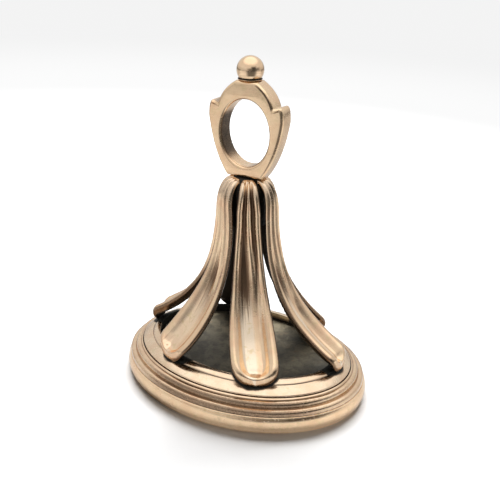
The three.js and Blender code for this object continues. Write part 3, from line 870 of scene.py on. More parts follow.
def toe_place(form, sizes):
    """Where a petal's toe stands, as its distance from the middle and its angle."""
    setting = bpy.context.scene.seal_setting
    offset = BAND_FOOT_OUT - sizes.toe_inset
    half_length = setting.half_length + offset
    half_width = setting.half_width + offset
    x = form["toe_along"]
    if x == 0:
        return half_length, 0.0
    y = half_width * math.sqrt(1 - (x / half_length) ** 2)
    return math.hypot(x, y), math.atan2(y, x)


def petal_line(form, sizes, reach):
    """A petal's outer line in radius and height: over the neck, down the trunk, over the toe."""
    waist_height = NECK_TOP - sizes.waist_drop
    end_height = BAND_FOOT + sizes.spoon_rise
    neck = Vector((1.38 * MM, NECK_TOP - 0.02 * MM))
    waist = Vector((form["waist_radius"], waist_height))
    knee = Vector((form["knee"][0], lerp(end_height, waist_height, form["knee"][1])))
    slope = Vector((form["slope"][0], lerp(end_height, waist_height, form["slope"][1])))
    end = Vector((reach - sizes.toe_run, end_height))
    tip = Vector((reach, BAND_FOOT + sizes.toe_clearance))
    rise = waist + (waist - knee).normalized() * 0.7 * (neck.y - waist.y)
    over_neck = Vector((lerp(neck.x, waist.x, 0.5), neck.y))
    run = end + (end - slope).normalized() * 0.7 * sizes.toe_run
    over_toe = Vector((tip.x, lerp(tip.y, end.y, 0.6)))
    return (
        ([neck, over_neck, rise, waist], 18),
        ([waist, knee, slope, end], 84),
        ([end, run, over_toe, tip], 30),
    )


def oval_end(distance, reach):
    """The full end of an oval: 0 at its tip, 1 from the given length on."""
    fullness = 2.1
    to_go = 1 - clamp(distance / reach)
    return (1 - to_go ** fullness) ** (1 / fullness)


def petal_stations(form, neck_angle, sizes):
    """The stations down a petal, each with the numbers that the petal tree reads."""
    reach, toe_angle = toe_place(form, sizes)
    end_height = BAND_FOOT + sizes.spoon_rise
    stations = []
    for part, (curve, count) in enumerate(petal_line(form, sizes, reach)):
        for i in range(0 if part == 0 else 1, count + 1):
            step = i / count
            step = math.sin(0.5 * math.pi * step) if part == 2 else step
            way = bezier_way(curve, step)
            stations.append([bezier(curve, step), Vector((way.y, -way.x)), part, step])
    spoon_way = [each[1] for each in stations if each[2] == 1][-1]
    under_toe = Vector((-sizes.toe_undercut, -1.0))
    for each in stations:
        if each[2] == 2:
            each[1] = spoon_way.lerp(under_toe, each[3]).normalized()
    runs = [0.0]
    for a, b in zip(stations, stations[1:]):
        runs.append(runs[-1] + (b[0] - a[0]).length)
    rows = []
    for (place, way, part, step), run in zip(stations, runs):
        to_tip = runs[-1] - run
        neck = step if part == 0 else 1.0
        body = (0.0, step, 1.0)[part]
        spoon = smoothstep(body, 0.3, 0.97)
        trunk_width = lerp(form["waist_width"], form["knee_width"], smoothstep(body, 0.0, 0.45))
        width = lerp(lerp(form["neck_width"], trunk_width, neck), form["spoon_width"], spoon)
        half = max(width / 2 * oval_end(to_tip, sizes.end_length), 0.2 * MM)
        roll = min(lerp(sizes.trunk_roll, sizes.spoon_roll, spoon), 0.4 * half)
        bowl_end = oval_end(to_tip - roll, sizes.end_length - roll)
        crest = max((width / 2 - roll) * bowl_end, 0.3 * half)
        crest = min(crest, half - 0.4 * roll)
        trunk = lerp(0.5 * MM, 0.75 * MM, neck)
        thickness = lerp(trunk, 1.15 * MM, spoon)
        thickness = lerp(thickness, 0.9 * sizes.toe_clearance, step if part == 2 else 0.0)
        fluted = smoothstep(neck, 0.0, 0.4)
        ended = smoothstep(to_tip - roll, 0.0, sizes.bowl_slope)
        dish = lerp(sizes.flute_depth * fluted, sizes.bowl_depth, spoon) * ended
        slope = lerp(sizes.flute_slope, sizes.bowl_slope, spoon)
        ridge = sizes.ridge_height * fluted * (1 - smoothstep(body, 0.3, 0.85))
        downward = clamp((NECK_TOP - place.y) / (NECK_TOP - end_height))
        turn_place = lerp(neck_angle, toe_angle, downward)
        turn_face = lerp(neck_angle, toe_angle + form["face_turn"], downward)
        toe = smoothstep(to_tip, 2.2 * MM, 0.2 * MM)
        rows.append({
            "place": (place.x, 0.0, place.y),
            "way": (way.x, 0.0, way.y),
            "widths": (half, crest, slope),
            "depths": (thickness, dish, ridge),
            "turns": (turn_place, turn_face, toe),
            "run": run,
            "drift": sizes.ridge_drift * smoothstep(body, 0.02, 0.5),
        })
    last = rows[-1]
    end = {**last, "turns": (*last["turns"][:2], 2.0)}
    return [pole(rows[0]), *rows, pole(end)]


def pole(row):
    """A station drawn in to one point, which closes a petal's end."""
    depth = 0.45 * row["depths"][0]
    place = [a + depth * b for a, b in zip(row["place"], row["way"])]
    return {**row, "place": place, "widths": (0.0, 0.0, 0.0), "depths": (0.0, 0.0, 0.0)}


def petal_section():
    """The section's points: shares of the crest and the half width, and of the depths."""
    channel = [((2 * i / 40 - 1, 0.0, 0.0), (0.0, 0.0, 1.0)) for i in range(41)]
    side = []
    for i in range(1, 11):
        turn = 0.5 * math.pi * i / 10
        over = math.sin(turn)
        side.append(((1 - over, over, 0.0), (1 - math.cos(turn), 0.0, 0.0)))
    for i in range(1, 6):
        part = 0.82 * i / 5
        side.append(((0.0, lerp(1.0, 0.78, part), part), (1 - part, part, 0.0)))
    for i in range(1, 5):
        part = i / 4
        out = lerp(0.82, 0.66, part)
        side.append(((0.0, out, 1.0), (0.18 * (1 - part) ** 2, 1 - 0.18 * (1 - part) ** 2, 0.0)))
    mirrored = [((-a, -b, c), depth) for (a, b, c), depth in reversed(side)]
    loop = channel + side + mirrored
    return loop + loop[:1]


def turned(name, profile, material, steps=96):
    """A piece turned about the vertical axis, from radius and height pairs."""
    shell = bmesh.new()
    rings = []
    for radius, height in profile:
        if radius == 0:
            rings.append([shell.verts.new((0.0, 0.0, height))])
            continue
        turns = [2 * math.pi * i / steps for i in range(steps)]
        places = [(radius * math.cos(a), radius * math.sin(a), height) for a in turns]
        rings.append([shell.verts.new(place) for place in places])
    for low, high in zip(rings, rings[1:]):
        for i in range(steps):
            corners = [low[i % len(low)], low[(i + 1) % len(low)]]
            corners += [high[(i + 1) % len(high)], high[i % len(high)]]
            corners = list(dict.fromkeys(corners))
            if len(corners) > 2:
                shell.faces.new(corners).smooth = True
    mesh = bpy.data.meshes.new(name)
    shell.to_mesh(mesh)
    shell.free()
    mesh.materials.append(material)
    obj = bpy.data.objects.new(name, mesh)
    bpy.context.scene.collection.objects.link(obj)
    return baked(obj)


def bow_outline():
    """The bow's outline, anticlockwise from the foot's right corner."""
    sizes = bpy.context.scene.seal_bow
    top = BOW_HEIGHT
    notch = Vector((3.08 * MM, top - NOTCH_DROP))
    cheek = Vector((sizes.half_width, notch.y - 1.32 * MM))
    shoulder = Vector((lerp(notch.x, cheek.x, 0.55), notch.y + 0.2 * MM))
    corner = Vector((cheek.x, shoulder.y))
    foot = Vector((sizes.foot_half_width, 0.0))
    flare = Vector((0.72 * cheek.x, 0.22 * cheek.y))
    belly = Vector((0.92 * cheek.x, 0.57 * cheek.y))
    arch_top = Vector((1.1 * MM, top))
    arch_pull = Vector((0.86 * notch.x, lerp(notch.y, top, 0.62)))
    right = [bezier([foot, flare, belly, cheek], i / 28) for i in range(29)]
    right += [bezier([cheek, corner, shoulder], i / 14) for i in range(1, 15)]
    right += [bezier([notch, arch_pull, arch_top], i / 24) for i in range(25)]
    left = [Vector((-each.x, each.y)) for each in reversed(right)]
    return right + left


def bow_eye():
    """The oval of the bow's eye."""
    sizes = bpy.context.scene.seal_bow
    low = sizes.foot_wall
    high = BOW_HEIGHT - sizes.top_wall
    half = Vector((sizes.half_width - sizes.side_wall, (high - low) / 2))
    turns = [2 * math.pi * i / 120 for i in range(120)]
    middle = (low + high) / 2
    return [Vector((half.x * math.cos(a), middle + half.y * math.sin(a))) for a in turns]


def add_spline(curve, places):
    """Adds a closed line through the places to a flat curve."""
    spline = curve.splines.new("POLY")
    spline.points.add(len(places) - 1)
    for point, place in zip(spline.points, places):
        point.co = (place.x, place.y, 0.0, 1.0)
    spline.use_cyclic_u = True


def bow_plate(material):
    """The bow's plate, cut from its outline and softened on every edge."""
    sizes = bpy.context.scene.seal_bow
    curve = bpy.data.curves.new("bow_plate", "CURVE")
    curve.dimensions = "2D"
    curve.fill_mode = "BOTH"
    curve.extrude = sizes.thickness / 2 - sizes.edge
    curve.bevel_depth = sizes.edge
    curve.bevel_resolution = 5
    curve.offset = -sizes.edge
    add_spline(curve, bow_outline())
    add_spline(curve, bow_eye())
    drawn = bpy.data.objects.new("bow_outline", curve)
    bpy.context.scene.collection.objects.link(drawn)
    depsgraph = bpy.context.evaluated_depsgraph_get()
    mesh = bpy.data.meshes.new_from_object(drawn.evaluated_get(depsgraph), depsgraph=depsgraph)
    bpy.data.objects.remove(drawn)
    lift = Matrix.Translation((0.0, 0.0, BOW_FOOT))
    mesh.transform(lift @ Matrix.Rotation(math.pi / 2, 4, "X"))
    shell = bmesh.new()
    shell.from_mesh(mesh)
    bmesh.ops.remove_doubles(shell, verts=shell.verts, dist=MERGE_DISTANCE)
    bmesh.ops.recalc_face_normals(shell, faces=shell.faces)
    for face in shell.faces:
        face.smooth = True
    shell.to_mesh(mesh)
    shell.free()
    mesh.materials.clear()
    mesh.materials.append(material)
    obj = bpy.data.objects.new("hanging_bow", mesh)
    bpy.context.scene.collection.objects.link(obj)
    weighted = obj.modifiers.new("Even shade", "WEIGHTED_NORMAL")
    weighted.weight = 100
    weighted.keep_sharp = True
    return obj


def baked_bow(plate):
    """The bow's plate with its even shade made its own, and its darker eye wall and arch edge marked.
    """
    depsgraph = bpy.context.evaluated_depsgraph_get()
    mesh = bpy.data.meshes.new_from_object(
        plate.evaluated_get(depsgraph), preserve_all_data_layers=True, depsgraph=depsgraph
    )
    plate.modifiers.clear()
    plate.data = mesh
    eye = bow_eye()
    middle = BOW_FOOT + sum((each.y for each in eye), 0.0) / len(eye)
    half_width = max(each.x for each in eye)
    half_height = BOW_FOOT + max(each.y for each in eye) - middle
    sizes = bpy.context.scene.seal_bow
    notch = BOW_TOP - NOTCH_DROP
    depths = []
    for vertex in mesh.vertices:
        across = vertex.co.x / half_width
        along = (vertex.co.z - middle) / half_height
        out = math.hypot(across, along)
        depth = 0.76 * smoothstep(out, 1.06, 1.01)
        depth *= smoothstep(along, 0.8, 0.4) * smoothstep(along, -1.0, -0.6)
        # Painted shade along the arch's right edge, where the face turns over into its side
        if out > 1.2:
            turned_over = (sizes.thickness / 2 - abs(vertex.co.y)) / sizes.edge
            line = 0.72 * smoothstep(turned_over, 0.3, 0.14)
            line *= lerp(0.3, 1.0, smoothstep(turned_over, 0.0, 0.03))
            line *= smoothstep(across, 0.25, 0.6)
            line *= smoothstep(vertex.co.z, notch - 0.14 * MM, notch + 0.06 * MM)
            depth = max(depth, line)
        depths.append(depth)
    groove = mesh.attributes.new("groove", "FLOAT", "POINT")
    groove.data.foreach_set("value", depths)
    return plate


def material_wires(name):
    """A new material, its wires, and its surface shader joined to the output."""
    material = bpy.data.materials.new(name)
    material.use_nodes = True
    tree = material.node_tree
    tree.nodes.clear()
    wires = Wiring(tree)
    surface = wires.node("ShaderNodeBsdfPrincipled")
    wires.node("ShaderNodeOutputMaterial", {"Surface": surface.outputs[0]})
    return material, wires, surface


def object_mm(wires, turn=(0.0, 0.0, 0.0), scale=(1.0, 1.0, 1.0)):
    """Object coordinates in millimetres, turned and stretched."""
    place = wires.node("ShaderNodeTexCoord")
    mapping = wires.node("ShaderNodeMapping", {
        "Vector": place.outputs["Object"],
        "Rotation": turn,
        "Scale": [1000 * each for each in scale],
    })
    return wires.out(mapping)


def surface_mm(wires, scale):
    """The piece's own map in millimetres: across or round it, and along it."""
    place = wires.node("ShaderNodeUVMap", uv_map="UVMap")
    mapping = wires.node("ShaderNodeMapping", {
        "Vector": place,
        "Scale": (1000 * scale[0], 1000 * scale[1], 1.0),
    })
    return wires.out(mapping)


def finished(wires, surface, base, metal, rough, relief, strength, depth):
    """Joins a finish's colour, metal, roughness and relief to its shader."""
    bump = wires.node("ShaderNodeBump", {
        "Strength": strength,
        "Distance": depth,
        "Height": relief,
    })
    wires.fill(surface, {
        "Base Color": base,
        "Metallic": metal,
        "Roughness": rough,
        "Normal": bump,
    })


def noise(wires, vector, scale, detail, roughness, distortion=0.0):
    """A noise pattern, as numbers between 0 and 1."""
    node = wires.node("ShaderNodeTexNoise", {
        "Vector": vector,
        "Scale": scale,
        "Detail": detail,
        "Roughness": roughness,
        "Distortion": distortion,
    })
    return node.outputs[0]


def uneven(wires, mask, pattern, amount):
    """A mask whose edge wanders with a noise pattern."""
    return wires.times_plus(wires.minus(pattern, 0.5), amount, mask)


def attribute(wires, name):
    """A number that the mesh carries."""
    return wires.node("ShaderNodeAttribute", attribute_name=name).outputs["Fac"]


def mixed(wires, factor, a, b, blend="MIX"):
    """A blend of two colours."""
    node = wires.node("ShaderNodeMix", data_type="RGBA", blend_type=blend)
    wires.feed(node.inputs[0], factor)
    wires.feed(node.inputs[6], a if isinstance(a, bpy.types.NodeSocket) else (*a, 1.0))
    wires.feed(node.inputs[7], b if isinstance(b, bpy.types.NodeSocket) else (*b, 1.0))
    return node.outputs[2]


def scratches(wires, turns, low):
    """Thin scratches in several directions, as a mask."""
    total = 0.0
    for turn in turns:
        field = noise(wires, object_mm(wires, turn, (0.22, 5.5, 5.5)), 1.0, 2.0, 0.5, 0.15)
        line = wires.ramp(field, low, low + 0.045)
        total = wires.most(total, line)
    return total


def near_toes(wires, whole, out=0.34, within=-0.02):
    """Where the six toes stand, as a mask that fades out round them."""
    sizes = bpy.context.scene.seal_petals
    x, y, _ = wires.split(whole)
    stray = wires.times_plus(noise(wires, whole, 0.7, 1.0, 0.5), 1.4 * out, -0.8 * out)
    across = wires.plus(wires.size(x), stray)
    along = wires.plus(wires.size(y), stray)
    cleaner_left = wires.ramp(x, 0.0, -2.0, 0.0, 0.1)
    cleaner_right = wires.ramp(x, 7.0, 9.0, 0.0, 0.1)
    cleaner = wires.most(cleaner_left, cleaner_right)
    total = 0.0
    for form in PETAL_FORMS.values():
        reach, angle = toe_place(form, sizes)
        half = form["spoon_width"] / 2
        face = angle + form["face_turn"]
        middle_x = (reach * math.cos(angle) - half * math.cos(face)) / MM
        middle_y = (reach * math.sin(angle) - half * math.sin(face)) / MM
        from_x = wires.minus(across, middle_x)
        from_y = wires.minus(along, middle_y)
        square = wires.times_plus(from_x, from_x, wires.times(from_y, from_y))
        away = wires.plus(wires.math("SQRT", square), cleaner)
        ring = wires.ramp(away, half / MM + out, half / MM + within)
        total = wires.most(total, ring)
    return total


def tinted(tint):
    """The clean gold's colour, multiplied by a tint."""
    return tuple(a * b for a, b in zip(bpy.context.scene.seal_finish.gold, tint))


def gold(name, tint, roughness, grooves="", along_surface=False):
    """Worn rolled gold. Grooves names the attribute that marks its hollows and its painted shade."""
    finish = bpy.context.scene.seal_finish
    material, wires, surface = material_wires(name)
    whole = object_mm(wires)
    clouds = noise(wires, whole, 0.55, 4.0, 0.6)
    patches = noise(wires, whole, 1.5, 3.0, 0.5, 0.4)
    grain = noise(wires, whole, 9.0, 4.0, 0.65)
    swells = noise(wires, whole, 0.42, 1.0, 0.4)

    # Clean metal, which leans to pink, pale and olive in soft clouds
    pink = tinted((0.97 * tint[0], 0.92 * tint[1], 0.89 * tint[2]))
    pale = tinted((1.04 * tint[0], 1.07 * tint[1], 1.07 * tint[2]))
    olive = tinted((0.87 * tint[0], 0.91 * tint[1], 0.82 * tint[2]))
    base = mixed(wires, wires.ramp(clouds, 0.3, 0.68), pink, pale)
    base = mixed(wires, wires.ramp(patches, 0.5, 0.75, 0.0, 0.7), base, olive)
    thin = wires.ramp(clouds, 0.6, 0.78, 0.0, 0.45)
    specks = wires.ramp(noise(wires, whole, 2.6, 5.0, 0.7, 0.5), 0.68, 0.8, 0.0, 0.5)
    dulled = wires.most(thin, specks)

    # Tarnish in the grooves, fading towards the oval's ends, and soot and painted shade by the toes
    if along_surface:
        streak = noise(wires, surface_mm(wires, (0.3, 6.0)), 1.0, 3.0, 0.6, 0.1)
    else:
        streak = noise(wires, object_mm(wires, (0.0, 0.5, 0.2), (1.2, 5.0, 5.0)), 1.0, 3.0, 0.6)
    brushed = wires.ramp(streak, 0.35, 0.7)
    groove = attribute(wires, grooves) if grooves else 0.0
    if along_surface:
        x, _, _ = wires.split(whole)
        to_end = wires.size(wires.minus(x, 2.5))
        fading_to_ends = wires.times(groove, wires.ramp(to_end, 5.5, 11.5, 1.0, 0.4))
        packed = wires.times(groove, wires.ramp(groove, 0.6, 0.74))
        groove = wires.most(fading_to_ends, packed)
        groove = wires.most(groove, near_toes(wires, whole))
    edge_of_groove = uneven(wires, groove, grain, 0.7)
    dirt_and_shade = wires.ramp(edge_of_groove, 0.5, 0.95)
    browned = wires.ramp(edge_of_groove, 0.12, 0.6, 0.0, finish.tarnish_amount)
    brown = wires.most(wires.times(dulled, 0.55), browned)
    tarnish_and_shade = tuple(a * b for a, b in zip(finish.tarnish_and_shade, tint))
    base = mixed(wires, brown, base, tarnish_and_shade)
    base = mixed(wires, dirt_and_shade, base, finish.grime_and_shade)
    metal = wires.minus(1.0, wires.times(dirt_and_shade, 0.75))

    # Scratches and brushed streaks, in the gloss and in the relief
    lines = scratches(wires, ((0.3, 0.2, 0.5), (1.1, 0.7, 1.9), (0.2, 1.4, 2.6)), 0.67)
    layers = ((brushed, 0.06), (lines, 0.12), (brown, 0.16), (dirt_and_shade, 0.35))
    rough = wires.piled(roughness, *layers)
    cut = wires.times(lines, -0.14)
    relief = wires.piled(cut, (brushed, 0.04), (swells, 3.0), (grain, 0.015))
    finished(wires, surface, base, metal, rough, relief, finish.scratch_amount, BUMP_DEPTH)
    return material


def petal_gold():
    """The petals' gold, with brown channels, dark feet, painted bowl highlights and painted shade."""
    finish = bpy.context.scene.seal_finish
    material, wires, surface = material_wires("Petal gold")
    whole = object_mm(wires)
    hollow = attribute(wires, "hollow")
    toe = attribute(wires, "toe")
    under = attribute(wires, "under")
    clouds = noise(wires, whole, 0.6, 4.0, 0.6)
    patches = noise(wires, whole, 1.7, 3.0, 0.5, 0.4)
    grain = noise(wires, whole, 8.0, 4.0, 0.65)
    streak = noise(wires, surface_mm(wires, (6.0, 0.22)), 1.0, 3.0, 0.6, 0.1)
    fine = noise(wires, surface_mm(wires, (22.0, 0.7)), 1.0, 2.0, 0.6)
    swells = noise(wires, whole, 0.5, 1.0, 0.4)
    x, _, height = wires.split(whole)

    # Heights here are in millimetres over the seal face: the bowls end at about 8, the trunks
    # at about 14, and the neck is rounded over above 22
    trunk = wires.ramp(height, 8.0, 14.0)
    below_neck = wires.ramp(height, 23.4, 22.2)

    # Clean metal: clouds of pink, pale and olive, a painted highlight in the bowls, and greyer caps
    olive = tinted((0.84, 0.9, 0.8))
    pink = tinted((0.94, 0.87, 0.85))
    pale = tinted((1.02, 1.06, 1.06))
    base = mixed(wires, wires.ramp(clouds, 0.3, 0.68), pink, pale)
    in_bowl = wires.times(wires.ramp(hollow, 0.1, 0.6), wires.ramp(height, 14.0, 8.0))
    in_bowl = wires.times(in_bowl, wires.ramp(x, -5.0, 2.0, 0.3, 1.0))
    base = mixed(wires, in_bowl, base, tinted((1.0, 1.14, 1.3)))
    by_cap = wires.ramp(height, 20.8, 22.3)
    base = mixed(wires, by_cap, base, tinted((0.88, 0.92, 0.98)))
    # Redder, darker rims round the bowls: painted shade
    on_rim = wires.times(wires.ramp(hollow, 0.25, 0.0), wires.ramp(height, 13.0, 8.0))
    base = mixed(wires, wires.times(on_rim, 0.3), base, tinted((0.8, 0.75, 0.72)))
    base = mixed(wires, wires.ramp(patches, 0.55, 0.75, 0.0, 0.7), base, olive)

    # Brown tarnish in channels and specks; soot and painted shade on edges, painted shade on side
    # walls
    channel = wires.times(attribute(wires, "soot"), wires.times(trunk, below_neck))
    streaked = uneven(wires, channel, streak, 1.3)
    brown = wires.ramp(streaked, 0.08, 0.72, 0.0, 1.2 * finish.tarnish_amount)
    on_trunk = wires.times(wires.ramp(height, 8.0, 11.5), wires.ramp(height, 23.0, 21.8))
    outline = wires.times(wires.ramp(attribute(wires, "edge"), 0.4, 0.85), on_trunk)
    brown = wires.most(brown, wires.times(outline, 0.85))
    side = uneven(wires, attribute(wires, "side"), grain, 0.3)
    wall = wires.times(wires.ramp(side, 0.62, 0.95), wires.ramp(height, 15.0, 11.0))
    brown = wires.most(brown, wires.times(wall, 0.85))
    specks = wires.ramp(noise(wires, whole, 2.3, 5.0, 0.7, 0.5), 0.65, 0.78, 0.0, 0.6)
    brown = wires.most(brown, wires.times(specks, 0.6))

    # Black underneath, behind the trunks and under the toes: painted shade, with dirt at the toes'
    # joints
    foot = uneven(wires, under, grain, 0.4)
    dirt_and_shade = wires.ramp(foot, 0.5, 1.0)
    by_neck = wires.times(wires.ramp(foot, 0.06, 0.42), wires.ramp(height, 7.5, 12.0))
    dirt_and_shade = wires.most(dirt_and_shade, by_neck)
    dirt_and_shade = wires.most(dirt_and_shade, wires.times(outline, 0.45))
    cap = wires.ramp(wires.times_plus(grain, 0.3, toe), 1.25, 1.7)
    dirt_and_shade = wires.most(dirt_and_shade, cap)
    low_wall = wires.times(wires.ramp(foot, 0.2, 0.7), wires.ramp(toe, 0.2, 0.9))
    dirt_and_shade = wires.most(dirt_and_shade, low_wall)
    brown = wires.most(brown, wires.ramp(foot, 0.04, 0.4, 0.0, 0.72))
    base = mixed(wires, brown, base, finish.tarnish_and_shade)
    base = mixed(wires, wires.times(dirt_and_shade, 0.9), base, finish.grime_and_shade)
    metal = wires.ramp(dirt_and_shade, 0.0, 1.0, 1.0, 0.3)

    # Scratches and streaks down the petal, in the gloss and in the relief
    lines = scratches(wires, ((0.1, 0.2, 1.4), (0.9, 0.3, 2.2)), 0.655)
    polished = wires.ramp(height, 6.0, 12.0, 0.08, 0.13)
    layers = ((streak, 0.1), (lines, 0.12), (brown, 0.12), (dirt_and_shade, 0.35), (toe, 0.05))
    rough = wires.piled(polished, *layers)
    cut = wires.times(lines, -0.14)
    relief = wires.piled(cut, (streak, 0.5), (fine, 0.1), (swells, 2.4), (grain, 0.03))
    finished(wires, surface, base, metal, rough, relief, finish.scratch_amount, BUMP_DEPTH)
    return material


def shaded_neck_brass():
    """Brass and old solder deep between the petals, painted near-black for the shade there."""
    finish = bpy.context.scene.seal_finish
    material, wires, surface = material_wires("Neck in shade")
    whole = object_mm(wires)
    clouds = noise(wires, whole, 2.0, 5.0, 0.65)
    base = mixed(wires, wires.ramp(clouds, 0.5, 0.75, 0.0, 0.5), finish.grime_and_shade, finish.tarnish_and_shade)
    rough = wires.ramp(clouds, 0.3, 0.7, 0.65, 0.45)
    finished(wires, surface, base, 0.5, rough, clouds, 0.6, 0.05 * MM)
    return material


def seal_stone_finish():
    """Dark green stone: dull and mottled on its back, polished on its face."""
    finish = bpy.context.scene.seal_finish
    material, wires, surface = material_wires("Seal stone")
    whole = object_mm(wires)
    x, y, height = wires.split(whole)
    back = wires.ramp(height, 2.0, 2.6)
    mottle = noise(wires, whole, 0.9, 6.0, 0.68, 0.5)
    grain = noise(wires, whole, 5.0, 5.0, 0.7)
    cells = wires.node("ShaderNodeTexVoronoi", {"Vector": whole, "Scale": 3.2})
    chips = wires.ramp(cells.outputs[0], 0.05, 0.45, 1.0, 0.0)
    haze = noise(wires, whole, 0.26, 3.0, 0.55, 0.3)

    # Dark and mottled, with paler grains, black chips and a little rust
    dark = tuple(0.45 * each for each in finish.stone)
    base = mixed(wires, wires.ramp(mottle, 0.36, 0.6), dark, finish.stone)
    pale = wires.times(wires.ramp(grain, 0.5, 0.72), wires.ramp(mottle, 0.4, 0.7))
    base = mixed(wires, wires.times(pale, 0.8), base, finish.stone_vein)
    base = mixed(wires, wires.times(chips, 0.22), base, finish.grime_and_shade)
    rust = tuple(a * b for a, b in zip(finish.stone, (1.5, 1.0, 0.7)))
    rusty = wires.ramp(noise(wires, whole, 1.6, 3.0, 0.6), 0.58, 0.8, 0.0, 0.5)
    base = mixed(wires, rusty, base, rust)

    # Grey dust in a random haze, and a painted sheen that lightens the back behind the petals
    dust_and_sheen = mixed(wires, 0.8, base, (3.3, 3.2, 3.1), "MULTIPLY")
    behind = wires.times(wires.ramp(y, -0.5, 4.0, 0.1, 0.8), wires.ramp(x, 9.0, 7.0))
    hazy = wires.most(wires.ramp(haze, 0.42, 0.66, 0.0, 0.35), behind)
    base = mixed(wires, hazy, base, dust_and_sheen)
    # Darker at the right end, and painted shade round the petals' toes
    base = mixed(wires, wires.ramp(x, 6.5, 8.5, 0.0, 0.5), base, finish.grime_and_shade)
    soot = wires.times(near_toes(wires, whole, 0.9, -1.6), 0.55)
    base = mixed(wires, soot, base, finish.grime_and_shade)

    # The back is dull and rough; the face under it is polished smooth
    polish = 0.08
    dull = wires.ramp(grain, 0.3, 0.7, 0.42, 0.62)
    rough = wires.times_plus(back, wires.minus(dull, polish), polish)
    relief = wires.times_plus(mottle, 1.2, grain)
    finished(wires, surface, base, 0.0, rough, relief, wires.times(back, 0.55), 0.06 * MM)
    return material


def floor_finish():
    """A pale floor with the seal's own shadow, white to the camera, and painted shade and glow in
    reflections.
    """
    stage = bpy.context.scene.seal_stage
    material, wires, surface = material_wires("Pale floor")
    whole = object_mm(wires)
    grain = noise(wires, whole, 0.35, 3.0, 0.5)
    x, y, _ = wires.split(whole)
    reach = wires.math("SQRT", wires.times_plus(x, x, wires.times(y, y)))
    near = wires.ramp(reach, 25.0, 200.0)
    far = wires.ramp(reach, 110.0, 360.0)

    # The far floor fades to an even white for the camera, sooner on the right
    leaning = wires.times_plus(x, 0.247, reach)
    haze = wires.ramp(leaning, 70.0, 145.0, 0.0, 0.955)
    hazed = wires.plus(haze, wires.ramp(leaning, 140.0, 255.0, 0.0, 0.045))

    # What the metal mirrors, as painted shade: dimmer rings and a wedge of dimmer floor on the near
    # side
    towards = wires.times_plus(x, 0.47, wires.times(y, -0.883))
    tone = wires.ramp(towards, -50.0, 15.0, 0.5, 0.95)
    tone = wires.times(tone, wires.ramp(reach, 20.0, 70.0, 1.0, 0.96))
    nearly = wires.times_plus(x, 0.616, wires.times(y, -0.788))
    facing = wires.math("DIVIDE", nearly, wires.most(reach, 1.0))
    dim = wires.times(wires.ramp(facing, 0.56, 0.95), wires.ramp(reach, 24.0, 38.0))
    dim = wires.times_plus(dim, -0.8, 1.0)
    tone = wires.times(tone, dim)
    tone = wires.times(tone, wires.ramp(reach, 50.0, 63.0, 0.8, 1.0))
    tone = wires.times(tone, wires.ramp(reach, 70.0, 86.0, 1.0, 0.78))

    # The camera sees the plain floor, and other rays see that tone
    rays = wires.node("ShaderNodeLightPath")
    seen = rays.outputs["Is Camera Ray"]
    far = wires.most(far, wires.times(seen, hazed))
    paper = tuple(0.985 * each for each in stage.floor)
    mirrored = wires.times(tone, stage.floor_mirrored)
    level = wires.times_plus(seen, wires.minus(1.0, mirrored), mirrored)
    pale = mixed(wires, grain, stage.floor, paper)
    lit = wires.times(level, wires.minus(1.0, far))
    base = mixed(wires, lit, (0.0, 0.0, 0.0), pale)
    fill = wires.times(near, stage.floor_fill)
    past = wires.minus(stage.backdrop, fill)
    fill = wires.times_plus(far, past, fill)
    # A painted glow on the floor by the seal's foot, seen only in reflections, lightens the bezel's
    # lower wall
    mirrored_glow = wires.ramp(facing, 0.3, 0.9, 0.0, 0.3)
    mirrored_glow = wires.times(mirrored_glow, wires.ramp(reach, 28.0, 22.0))
    mirrored_glow = wires.times(mirrored_glow, wires.minus(1.0, seen))
    wires.fill(surface, {
        "Base Color": base,
        "Emission Color": (1.0, 1.0, 1.0, 1.0),
        "Emission Strength": wires.times_plus(fill, level, mirrored_glow),
        "Roughness": 0.9,
        "Specular IOR Level": 0.0,
    })
    return material


def sky():
    """The world: near white to the camera, and a lit room with a dim near side to the metal."""
    world = bpy.data.worlds.new("Studio")
    world.use_nodes = True
    tree = world.node_tree
    tree.nodes.clear()
    wires = Wiring(tree)
    stage = bpy.context.scene.seal_stage
    place = wires.node("ShaderNodeTexCoord")
    x, y, z = wires.split(place.outputs["Generated"])

    # How far a direction leans towards the dim side, whatever its height
    level = wires.minus(1.0, wires.times(z, z))
    flat = wires.math("SQRT", wires.most(level, 0.0025))
    towards = wires.times_plus(x, 0.85, wires.times(y, -0.526))
    facing = wires.math("DIVIDE", towards, flat)
    front = wires.times(wires.ramp(facing, 0.84, 0.985), wires.ramp(z, 0.6, 0.36))
    side = wires.times(wires.ramp(facing, 0.3, 0.88), wires.ramp(z, 0.42, 0.17))
    front = wires.times(front, stage.dim_front)
    side = wires.times(side, stage.dim_side)
    shade = wires.most(front, side)
    shade = wires.most(shade, wires.ramp(z, 0.3, 0.06, 0.0, 0.24))
    light = wires.ramp(z, 0.6, 0.86, stage.surround, stage.overhead)
    light = wires.times(light, wires.minus(1.0, shade))

    # Only mirrored rays see that room; the camera sees the backdrop, and the rest a faint light
    rays = wires.node("ShaderNodeLightPath")
    seen = rays.outputs["Is Camera Ray"]
    glossy = wires.most(rays.outputs["Is Glossy Ray"], rays.outputs["Is Transmission Ray"])
    backing = wires.times(seen, stage.backdrop)
    strength = wires.most(wires.times(light, glossy), backing)
    diffuse = wires.minus(1.0, wires.most(seen, glossy))
    strength = wires.times_plus(diffuse, 0.06, strength)
    white = {"Color": (1.0, 1.0, 1.0, 1.0), "Strength": strength}
    backdrop = wires.node("ShaderNodeBackground", white)
    wires.node("ShaderNodeOutputWorld", {"Surface": backdrop})
    return world


